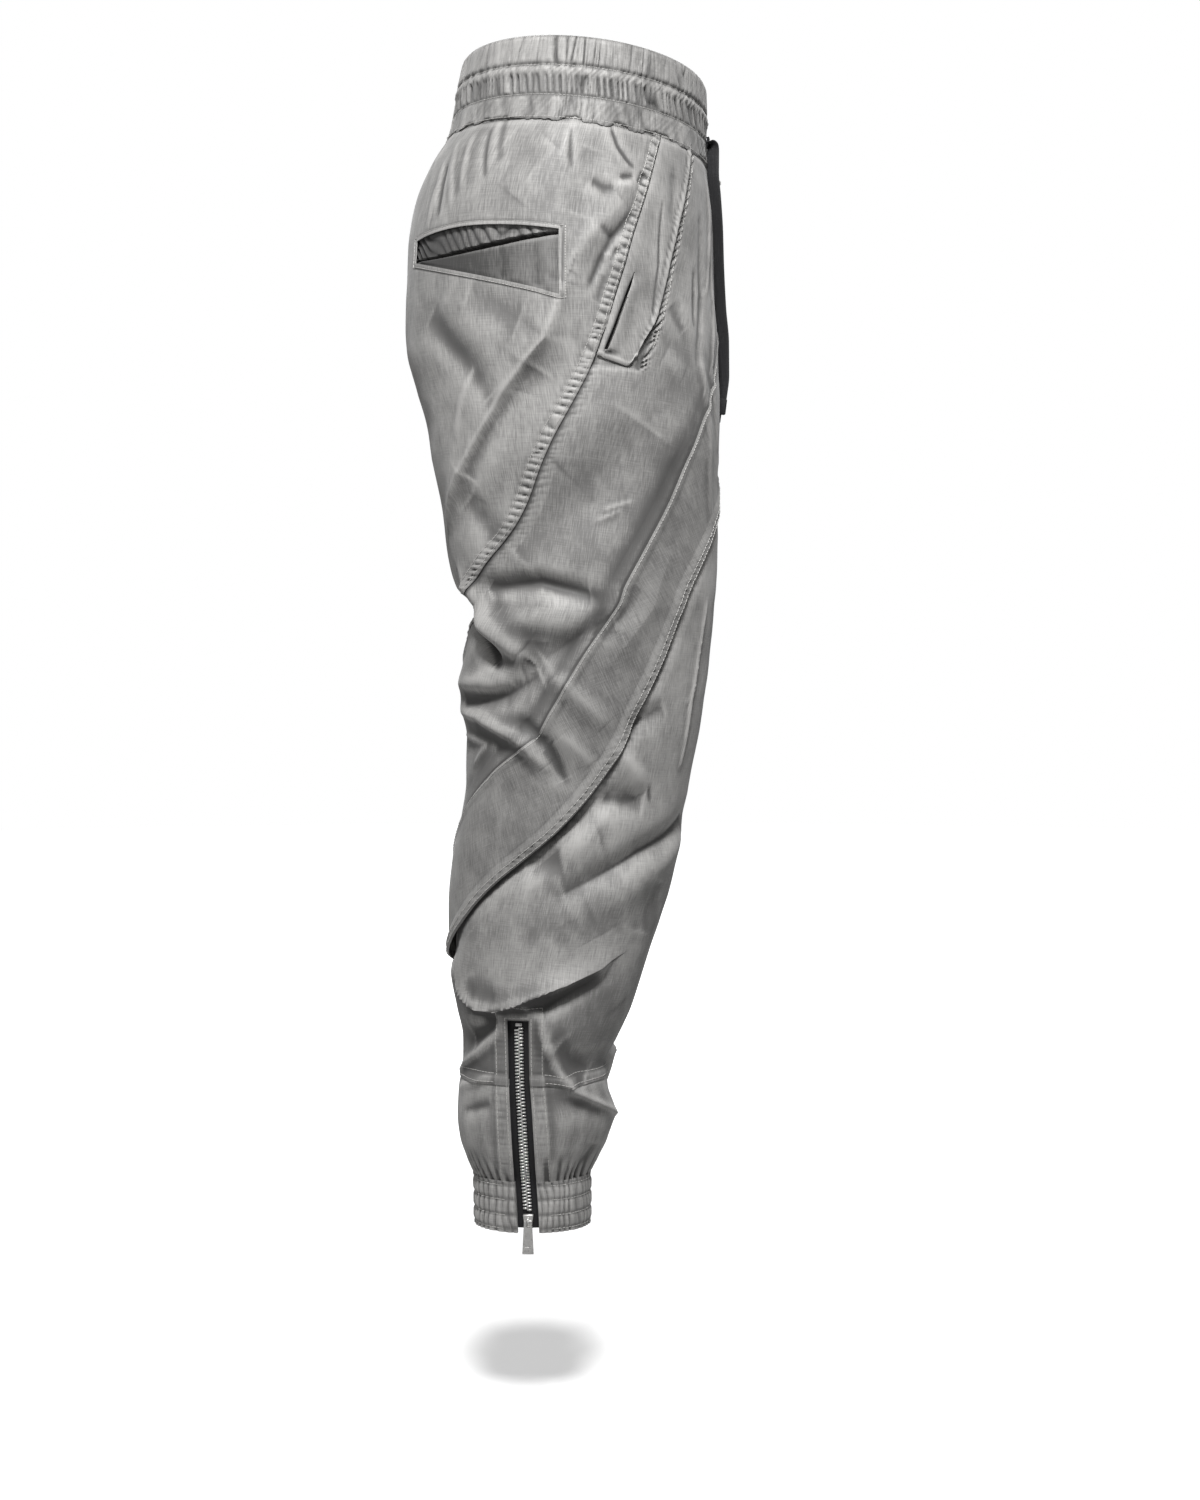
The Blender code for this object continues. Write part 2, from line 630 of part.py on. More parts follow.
def make_ankle_panel(side):
    """The panel below the ankle seam, open at the zip."""
    columns, rows = 15, 3
    top, foot = ANKLE_SEAM - LEVEL_GAP / 2, CUFF_TOP + LEVEL_GAP
    chart = []
    for i in range(rows + 1):
        z = top + (foot - top) * i / rows
        half = angle_share(ZIP_SHOWS / 2, z)
        start, end = zip_angle(z) + half, zip_angle(z) + 360 - half
        chart.append([(start + (end - start) * j / columns, z) for j in range(columns + 1)])
    wall_from_chart(f"{side}_ankle_panel", side, chart, CLOTH, level_rows=(0, -1))


def make_cuff(side):
    """The gathered cuff: each gather is a fold in the outer points over a plain inside."""
    thick, wave = 2.6 * MM, 1.1 * MM
    outside = ((0.0, 0.4), (0.28, 1.0), (0.54, 0.35), (0.78, 1.0), (1.0, 0.5))  # share of the height, swell
    inside = ((1.0, 0.0), (0.0, 0.0))
    columns = 2 * CUFF_GATHERS
    sheets = []
    for rows, depth in ((outside, 0.0), (inside, thick)):
        for share, swell in rows:
            z = CUFF_TOP + (HEM - CUFF_TOP) * share
            half = angle_share(ZIP_SHOWS / 2, z)
            start, end = zip_angle(z) + half, zip_angle(z) + 360 - half
            line = []
            for j in range(columns + 1):
                angle = start + (end - start) * j / columns
                normal = level(garment_normal(side, angle, z))
                ripple = wave * swell * (1 if j % 2 else -1)
                line.append(garment_point(side, angle, z) + normal * (ripple - depth))
            sheets.append(line)
    ring_of_sheets(f"{side}_cuff", sheets, CLOTH, wraps=False)


def make_zip_tape(side):
    """The tape behind the ankle opening, from above its top stop to the hem."""
    rows = 10
    top, foot = ZIP_TOP + ZIP_TAPE_OVER, ZIP_FOOT - TAPE
    chart = []
    for i in range(rows + 1):
        z = top + (foot - top) * i / rows
        half = angle_share(ZIP_TAPE_WIDTH / 2, z)
        chart.append([(zip_angle(z) + half * k, z) for k in (-1, -0.33, 0.33, 1)])
    outer, inner = [], []
    for row in chart:
        outer.append([])
        inner.append([])
        for angle, z in row:
            normal = garment_normal(side, zip_angle(z), z)
            point = garment_point(side, angle, z) - normal * ZIP_TAPE_DEEP
            outer[-1].append(point)
            inner[-1].append(point - normal * TAPE)
    wall_from_sheets(f"{side}_zip_tape", outer, inner, TAPE_CLOTH)


# ---------------------------------------------------------------- zip hardware
def frame_at(side, angle, z, outside):
    """A point on the surface and the directions across, up and out there."""
    out = level(garment_normal(side, angle, z))
    point = garment_point(side, angle, z) + out * outside
    up = Vector((0, 0, 1))
    return point, up.cross(out).normalized(), up, out


def box_mesh(bm, centre, size, taper=1.0):
    """A box with its foot wider or narrower than its top by taper. Size is across, up and out."""
    made = bmesh.ops.create_cube(bm, size=1.0)["verts"]
    for v in made:
        width = size[0] * (taper if v.co.y < 0 else 1.0)
        v.co = Vector((v.co.x * width, v.co.y * size[1], v.co.z * size[2])) + Vector(centre)
    return made


def placed(bm, name, place, kind):
    """Turns a mesh drawn as (across, up, out) into the garment's frame and makes it an object."""
    point, across, up, out = place
    for v in bm.verts:
        v.co = point + across * v.co.x + up * v.co.y + out * v.co.z
    return object_from(bm, name, kind, smooth=False)


def cut_from(obj, cutter, operation="DIFFERENCE"):
    modifier = obj.modifiers.new(operation.lower(), "BOOLEAN")
    modifier.operation = operation
    modifier.solver = "EXACT"
    modifier.object = cutter
    cutter.hide_render = True
    cutter.display_type = "WIRE"


def turn_steps(count, turn=2 * math.pi):
    """The angles of count equal steps round a turn, without its last end."""
    return [turn * k / count for k in range(count)]


def arch_mesh(bm, foot):
    """A half ring that stands on foot over the slider, its plane up and out, its feet sunk by its own wall."""
    sink = foot - (ARCH_OUTER - ARCH_INNER)
    half_ring = [*turn_steps(8, math.pi), math.pi]
    outline = [(-ARCH_OUTER, sink)]
    outline += [(-ARCH_OUTER * math.cos(a), foot + ARCH_OUTER * math.sin(a)) for a in half_ring]
    outline += [(ARCH_OUTER, sink), (ARCH_INNER, sink)]
    outline += [(ARCH_INNER * math.cos(a), foot + ARCH_INNER * math.sin(a)) for a in half_ring]
    outline += [(-ARCH_INNER, sink)]
    near, far = [[bm.verts.new((x, y, z)) for y, z in outline] for x in (-ARCH_WIDTH / 2, ARCH_WIDTH / 2)]
    bm.faces.new(near)
    bm.faces.new(list(reversed(far)))
    for k in range(-1, len(outline) - 1):
        bm.faces.new((near[k + 1], near[k], far[k], far[k + 1]))


Zip = namedtuple("Zip", "slider_width slider_height slider_deep pull_length pull_width flare")
ANKLE_ZIP = Zip(8.5 * MM, 10 * MM, 4.2 * MM, 27 * MM, 6.4 * MM, 1.45)
FLY_ZIP = Zip(6.5 * MM, 8 * MM, 2.4 * MM, 26 * MM, 6.2 * MM, 1.0)
SLIDER_TAPER = 0.72
ARCH_INNER, ARCH_OUTER, ARCH_WIDTH = 2.0 * MM, 3.0 * MM, 1.5 * MM
PULL_BAR = 1.1 * MM  # the pull's thickness, and the width of the bar that runs under the arch
PULL_RISE = 0.95 * MM  # of the pull's axis over the slider
PULL_SLOT = 4.4 * MM
SLOT_CLEARANCE = 1.2 * MM


def make_zip_hardware(prefix, place, size):
    """A slider with an arch, and the pull, whose bar turns under the arch and whose slot clears the arch."""
    bm = bmesh.new()
    slider_size = (size.slider_width, size.slider_height, size.slider_deep)
    box_mesh(bm, (0, 0, size.slider_deep / 2), slider_size, taper=SLIDER_TAPER)
    slider = placed(bm, f"{prefix}_slider", place, METAL)
    bm = bmesh.new()
    arch_mesh(bm, size.slider_deep)
    cut_from(slider, placed(bm, f"{prefix}_arch_cutter", place, METAL), "UNION")

    axis = size.slider_deep + PULL_RISE
    bm = bmesh.new()
    pull_middle = (0, (PULL_BAR - size.pull_length) / 2, axis)
    box_mesh(bm, pull_middle, (size.pull_width, size.pull_length, PULL_BAR), taper=size.flare)
    pull = placed(bm, f"{prefix}_pull", place, METAL)
    bm = bmesh.new()
    slot_middle = (0, -(PULL_BAR + PULL_SLOT) / 2, axis)
    box_mesh(bm, slot_middle, (ARCH_WIDTH + SLOT_CLEARANCE, PULL_SLOT, 4 * PULL_BAR))
    cut_from(pull, placed(bm, f"{prefix}_slot_cutter", place, METAL))


def make_ankle_zip(side):
    place = frame_at(side, zip_angle(ANKLE_SLIDER), ANKLE_SLIDER, SLIDER_OVER_TAPE - ZIP_TAPE_DEEP)
    make_zip_hardware(f"{side}_ankle", place, ANKLE_ZIP)


# ---------------------------------------------------------------- waistband, fly and drawstring
def half_angle(turn):
    """(side, angle) of a full turn that starts in front and goes round by the right side."""
    turn %= 360
    return ("right", 90 - turn) if turn <= 180 else ("left", turn - 270)


BandRow = namedtuple("BandRow", "share swell gather")  # share of the height, then millimetres
BAND_ROWS = (
    BandRow(0.0, 0.0, 0.5),
    BandRow(0.14, 0.6, 1.1),
    BandRow(0.34, -0.8, 0.7),
    BandRow(0.43, 2.0, 0.5),
    BandRow(0.56, 0.2, 1.4),
    BandRow(0.70, -0.6, 0.8),
    BandRow(1.0, 0.3, 0.0),
)
BAND_INSIDE = -3.4  # millimetres from the surface


def band_line(row):
    """One level line of the band, its points in turn on a gather and between two."""
    z = BAND_TOP + (BAND_FOOT + LEVEL_GAP / 2 - BAND_TOP) * row.share
    line = []
    for j in range(2 * WAIST_GATHERS):
        side, angle = half_angle(360 * j / (2 * WAIST_GATHERS))
        _, _, steer_out, steer_forward, _ = smooth_point(angle, z)
        steer = Vector((SIDES[side] * steer_out, -steer_forward, 0))
        wave = row.gather if j % 2 else -row.gather
        line.append(garment_point(side, angle, z) + steer * (row.swell + wave) * MM)
    return line


def make_waistband():
    """One gathered ring: an elastic channel, a soft roll, a second gathered channel and a smoother foot."""
    inside = (BandRow(1.0, BAND_INSIDE, 0.0), BandRow(0.0, BAND_INSIDE, 0.0))
    ring_of_sheets("waistband", [band_line(row) for row in BAND_ROWS + inside], CLOTH)


def ring_of_sheets(name, loop, kind, wraps=True):
    """A body whose rows follow one another round its cross-section, closed at its ends where it doesn't wrap."""
    bm = bmesh.new()
    rows = [[bm.verts.new(p) for p in row] for row in loop]
    columns = len(rows[0])
    for i, row in enumerate(rows):
        below = rows[(i + 1) % len(rows)]
        for j in range(columns if wraps else columns - 1):
            k = (j + 1) % columns
            bm.faces.new((row[j], row[k], below[k], below[j]))
    if not wraps:
        bm.faces.new([row[0] for row in rows])
        bm.faces.new([row[-1] for row in reversed(rows)])
    bmesh.ops.triangulate(bm, faces=bm.faces, quad_method="SHORT_EDGE")
    return object_from(bm, name, kind)


def front_point(x, z, outside):
    """A point before the belly at x from the middle plane, negative on the right side."""
    side = "right" if x < 0 else "left"
    s = section(z)
    across = s["outer"] - s["centre"] if abs(x) > s["centre"] else s["centre"] - s["inner"]
    angle = math.degrees(math.acos(max(-1.0, min(1.0, (abs(x) - s["centre"]) / across))))
    point = garment_point(side, angle, z)
    return Vector((x, point.y - outside, point.z))


FLAP_RIGHT, FLAP_LEFT, FLAP_NARROWS = -8 * MM, 32 * MM, 26 * MM
FLAP_CURVES_FROM = 0.62  # share of the flap's height where its left edge turns in
FLAP_GAPE, GAPE_ENDS = 2.4 * MM, 0.77
FLAP_SKINS = (2.6 * MM, 1.0 * MM)  # how far the flap's two sides stand before the cloth
TAPE_SKINS = (1.7 * MM, 0.9 * MM)
FLY_TAPE_HALF = 8 * MM
FLY_ROWS, FLAP_COLUMNS = 8, 4


def flap_line(share, skin):
    """One level line of the flap, which gapes at its open edge on the right side."""
    z = FLY_TOP + (FLY_FOOT - FLY_TOP) * share
    gape = FLAP_GAPE * math.sin(math.pi * min(1.0, share / GAPE_ENDS))
    left = FLAP_LEFT - FLAP_NARROWS * smoothstep((share - FLAP_CURVES_FROM) / (1 - FLAP_CURVES_FROM))
    line = []
    for j in range(FLAP_COLUMNS + 1):
        across = j / FLAP_COLUMNS
        x = FLAP_RIGHT + (left - FLAP_RIGHT) * across
        line.append(front_point(x, z, skin + gape * (1 - across) ** 2))
    return line


def fly_tape_line(share, skin):
    z = FLY_TOP - 3 * MM + (FLY_FOOT + 12 * MM - FLY_TOP) * share
    return [front_point(FLY_ZIP_X + x, z, skin) for x in (-FLY_TAPE_HALF, 0, FLY_TAPE_HALF)]


def make_fly():
    """The fly's flap over the middle seam, its zip tape at the flap's open edge, and the slider and pull."""
    shares = [i / FLY_ROWS for i in range(FLY_ROWS + 1)]
    flap = [[flap_line(share, skin) for share in shares] for skin in FLAP_SKINS]
    wall_from_sheets("fly_flap", flap[0], flap[1], CLOTH)
    tape = [[fly_tape_line(share, skin) for share in shares] for skin in TAPE_SKINS]
    wall_from_sheets("fly_zip_tape", tape[0], tape[1], TAPE_CLOTH)

    outside = 2.4 * MM
    point = front_point(FLY_ZIP_X, FLY_SLIDER, outside)
    point.y = min(point.y, front_point(FLY_ZIP_X, FLY_SLIDER - 20 * MM, outside).y)
    make_zip_hardware("fly", (point, Vector((1, 0, 0)), Vector((0, 0, 1)), Vector((0, -1, 0))), FLY_ZIP)


# The drawstring's route: how far it strays sideways, how far it stands before the cloth, and the height.
CordPoint = namedtuple("CordPoint", "sideways stand z")
CORD_LINE = (
    CordPoint(0, 1.8, -33),
    CordPoint(0, 5.4, -33.4),
    CordPoint(0, 6.6, -36.5),
    CordPoint(0, 5.6, -44),
    CordPoint(0, 4.0, -58),
    CordPoint(-1, 3.1, -80),
    CordPoint(-2, 2.8, -108),
    CordPoint(-3, 2.8, -140),
    CordPoint(-4, 2.8, -175),
    CordPoint(-4, 2.9, -205),
    CordPoint(-4, 3.1, -232),
    CordPoint(-4, 3.4, -252),
)


def cord_points(sign, count):
    """Points of the hanging cord on a smooth curve through its route, closer together near the eyelet."""
    route = []
    for p in CORD_LINE:
        x = sign * (CORD_X + p.sideways * MM)
        before_drop = p.z * MM - front_point(x, p.z * MM, 0.0).y * FRONT_DROP
        route.append(Vector((x, front_point(x, before_drop, p.stand * MM).y, p.z * MM)))
    steps = [0.0]
    for a, b in zip(route, route[1:]):
        steps.append(steps[-1] + (b - a).length)
    curves = [smooth_curve(steps, [p[axis] for p in route]) for axis in range(3)]
    return [Vector([c(steps[-1] * (k / (count - 1)) ** 1.6) for c in curves]) for k in range(count)]


def make_drawstring(side):
    """One free end of the drawstring, the eyelet that it leaves and the folded tip that finishes it."""
    points = cord_points(SIDES[side], 22)
    curve = bpy.data.curves.new(f"{side}_drawstring", "CURVE")
    curve.dimensions = "3D"
    curve.bevel_depth = CORD_RADIUS
    curve.bevel_resolution = 2
    curve.use_fill_caps = True
    spline = curve.splines.new("POLY")
    spline.points.add(len(points) - 1)
    for p, at in zip(spline.points, points):
        p.co = (*at, 1)
    curve.materials.append(material(CORD_CLOTH))
    bpy.context.scene.collection.objects.link(bpy.data.objects.new(f"{side}_drawstring", curve))
    make_tip(side, points[-1])
    make_eyelet(side, points[0])


def make_tip(side, end):
    """The end of the drawstring, folded over and sewn."""
    length, gap = 12 * MM, 0.5 * MM
    bm = bmesh.new()
    box_mesh(bm, (0, -gap - length / 2, 0), (11 * MM, length, 3.4 * MM))
    bmesh.ops.bevel(bm, geom=bm.edges[:], offset=0.8 * MM, segments=1, affect="EDGES")
    place = (end, Vector((1, 0, 0)), Vector((0, 0, 1)), Vector((0, -1, 0)))
    placed(bm, f"{side}_drawstring_tip", place, CORD_CLOTH)


Turned = namedtuple("Turned", "radius height")
EYELET_PROFILE = (Turned(5.4, 0.0), Turned(5.4, 0.7), Turned(4.5, 1.1), Turned(2.8, 1.1), Turned(2.8, 0.0))
EYELET_OUTSIDE = 0.6 * MM


def make_eyelet(side, start):
    """A turned ring that lies on the band round the place where the drawstring comes out."""
    bm = bmesh.new()
    angles = turn_steps(12)
    loops = []
    for r, h in EYELET_PROFILE:
        loops.append([bm.verts.new((r * MM * math.cos(a), r * MM * math.sin(a), h * MM)) for a in angles])
    for a, b in zip(loops, loops[1:] + loops[:1]):
        for k in range(-1, len(angles) - 1):
            bm.faces.new((a[k], a[k + 1], b[k + 1], b[k]))
    face = Vector((SIDES[side] * 0.28, -0.955, -0.09)).normalized()
    across = Vector((0, 0, 1)).cross(face).normalized()
    place = (start + face * EYELET_OUTSIDE, across, face.cross(across), face)
    placed(bm, f"{side}_eyelet", place, DARK_METAL)


# ---------------------------------------------------------------- the garment
def main():
    clear_scene()
    make_waistband()
    make_fly()
    for side in SIDES:
        make_hip_panel(side)
        make_side_panel(side)
        wall_from_chart(f"{side}_sweep_panel", side, panel_chart("sweep", SWEEP_COLUMNS), CLOTH)
        make_leg_panel(side)
        make_ankle_panel(side)
        make_cuff(side)
        make_zip_tape(side)
        make_ankle_zip(side)
        make_drawstring(side)


main()
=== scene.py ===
"""The looks of the worn cargo trousers: woven panels with folds, seams, gathers, zips and a drawstring."""

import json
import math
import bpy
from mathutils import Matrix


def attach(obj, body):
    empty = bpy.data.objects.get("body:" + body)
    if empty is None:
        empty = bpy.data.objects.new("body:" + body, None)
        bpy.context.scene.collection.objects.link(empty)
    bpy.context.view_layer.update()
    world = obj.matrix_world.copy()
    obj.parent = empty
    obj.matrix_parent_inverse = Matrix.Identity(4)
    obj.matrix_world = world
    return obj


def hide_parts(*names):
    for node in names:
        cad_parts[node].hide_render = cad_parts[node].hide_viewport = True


bl_info = {
    "name": "Worn cargo trousers",
    "version": (1, 0, 0),
    "blender": (4, 5, 0),
    "location": "3D View > Sidebar > Trousers",
    "description": "Dresses the trousers' solids with cloth, seams, gathers, zips and a drawstring",
    "category": "Object",
}

from collections import namedtuple

import bmesh
import bpy
import numpy as np
from bpy.props import FloatProperty, FloatVectorProperty, IntProperty, PointerProperty
from mathutils import Matrix, Vector

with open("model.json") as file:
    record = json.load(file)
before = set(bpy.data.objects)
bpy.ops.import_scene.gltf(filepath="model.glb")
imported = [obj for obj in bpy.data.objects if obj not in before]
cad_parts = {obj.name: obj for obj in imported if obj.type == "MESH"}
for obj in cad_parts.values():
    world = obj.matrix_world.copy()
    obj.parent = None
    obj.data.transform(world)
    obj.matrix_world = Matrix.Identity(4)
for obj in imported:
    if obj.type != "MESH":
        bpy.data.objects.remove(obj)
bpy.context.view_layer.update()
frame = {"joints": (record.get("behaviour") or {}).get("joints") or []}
MM = 0.001
SIDES = {"right": -1, "left": 1}

# ---------------------------------------------------------------- the garment's sizes, as in the solids
BAND_TOP, BAND_FOOT = 28 * MM, -42 * MM
CUFF_TOP, HEM, ANKLE_SEAM = -894 * MM, -935 * MM, -815 * MM
FRONT_DROP = 0.096
DROP_ENDS, DROP_FADES = -260 * MM, 200 * MM
HALF_GAP = 0.25 * MM
CROTCH = -318 * MM
MIDDLE_LAP = 0.8 * MM  # by which the right half laps past the middle plane where the halves are sewn together
ZIP_TOP, ZIP_FOOT = -763 * MM, -931 * MM
ZIP_SHOWS = 16.5 * MM
FOLD_FADE = 34 * MM
ZIP_CALM = 13 * MM
LEFT_SHIFT = 11 * MM

Section = namedtuple("Section", "z back front outer centre inner")
SECTIONS = tuple(Section(*row) for row in (
    (34, -117, 91, 155, 0, -155),
    (0, -124, 92, 158, 0, -158),
    (-34, -130, 93, 164, 1, -158),
    (-68, -149, 97, 175, 3, -152),
    (-100, -160, 99, 183, 8, -145),
    (-135, -166, 99, 188, 16, -136),
    (-175, -167, 100, 191, 30, -118),
    (-215, -164, 101, 193, 48, -78),
    (-250, -153, 101, 193, 68, -42),
    (-280, -144, 100, 193, 84, -19),
    (-305, -140, 99, 192, 93, -5),
    (-322, -137, 98, 191, 96, 0.3),
    (-350, -131, 98, 190, 97, 2.5),
    (-390, -126, 98, 190, 99, 7),
    (-415, -119, 97, 190, 101, 10),
    (-432, -106, 95, 189, 101, 13),
    (-455, -110, 93, 188, 102, 16),
    (-492, -115, 89, 187, 104, 21),
    (-513, -116, 86, 187, 106, 25),
    (-540, -111, 81, 186, 108, 30),
    (-575, -111, 74, 185, 110, 35),
    (-600, -114, 70, 185, 112, 39),
    (-637, -121, 64, 185, 114, 43),
    (-680, -125, 52, 185, 116, 47),
    (-720, -125, 39, 185, 119, 53),
    (-760, -118, 26, 184, 122, 60),
    (-785, -112, 14, 182, 124, 66),
    (-805, -111, 5, 181, 125, 69),
    (-825, -116, 6, 181, 126, 71),
    (-845, -117, 12, 182, 127, 72),
    (-865, -115, 7, 180, 128, 76),
    (-882, -109, -2, 176, 129, 83),
    (-895, -104, -8, 172, 130, 89),
    (-936, -103, -8, 171, 130, 89),
))

# How a seam is sewn: how far the upper layer stands up and how wide its lap is, how far the lower layer
# sinks, the height, wave and reach of the puckers, all in millimetres, the share of them that the lower
# layer has, and how far they slant, in waves for each millimetre. Path points are (height, angle).
Seam = namedtuple("Seam", "rise lap sink pucker wave reach under slant path")
HIP_SEAM = Seam(1.0, 5, 0.9, 1.25, 6.4, 9, 0.35, -0.05, (
    (-20, 41), (-55, 36), (-115, 29), (-188, 19), (-229, 12), (-292, -6), (-363, -26), (-407, -52),
    (-440, -80), (-490, -120), (-545, -180),
))
POCKET_SEAM = Seam(1.5, 1.6, 1.1, 0.5, 7.3, 7.5, 4.4, -0.16, (
    (-20, 60), (-91, 50), (-147, 43), (-192, 37), (-245, 26),
))
SWEEP_SEAM = Seam(0.8, 2.5, 0.5, 0.12, 9, 6, 0.6, 0, (
    (-170, 101), (-205, 84), (-271, 62), (-342, 41), (-379, 29), (-463, 1), (-531, -20), (-565, -47),
    (-597, -75), (-650, -108), (-700, -148), (-730, -180),
))
LAPPED_SEAM = Seam(2.0, 7, 1.6, 0.55, 6.4, 9, 0.5, 0.06, (
    (-268, 136), (-302, 117), (-342, 90), (-369, 72), (-427, 48), (-491, 34), (-555, 18), (-610, -5),
    (-651, -32), (-705, -74), (-735, -128), (-755, -180),
))

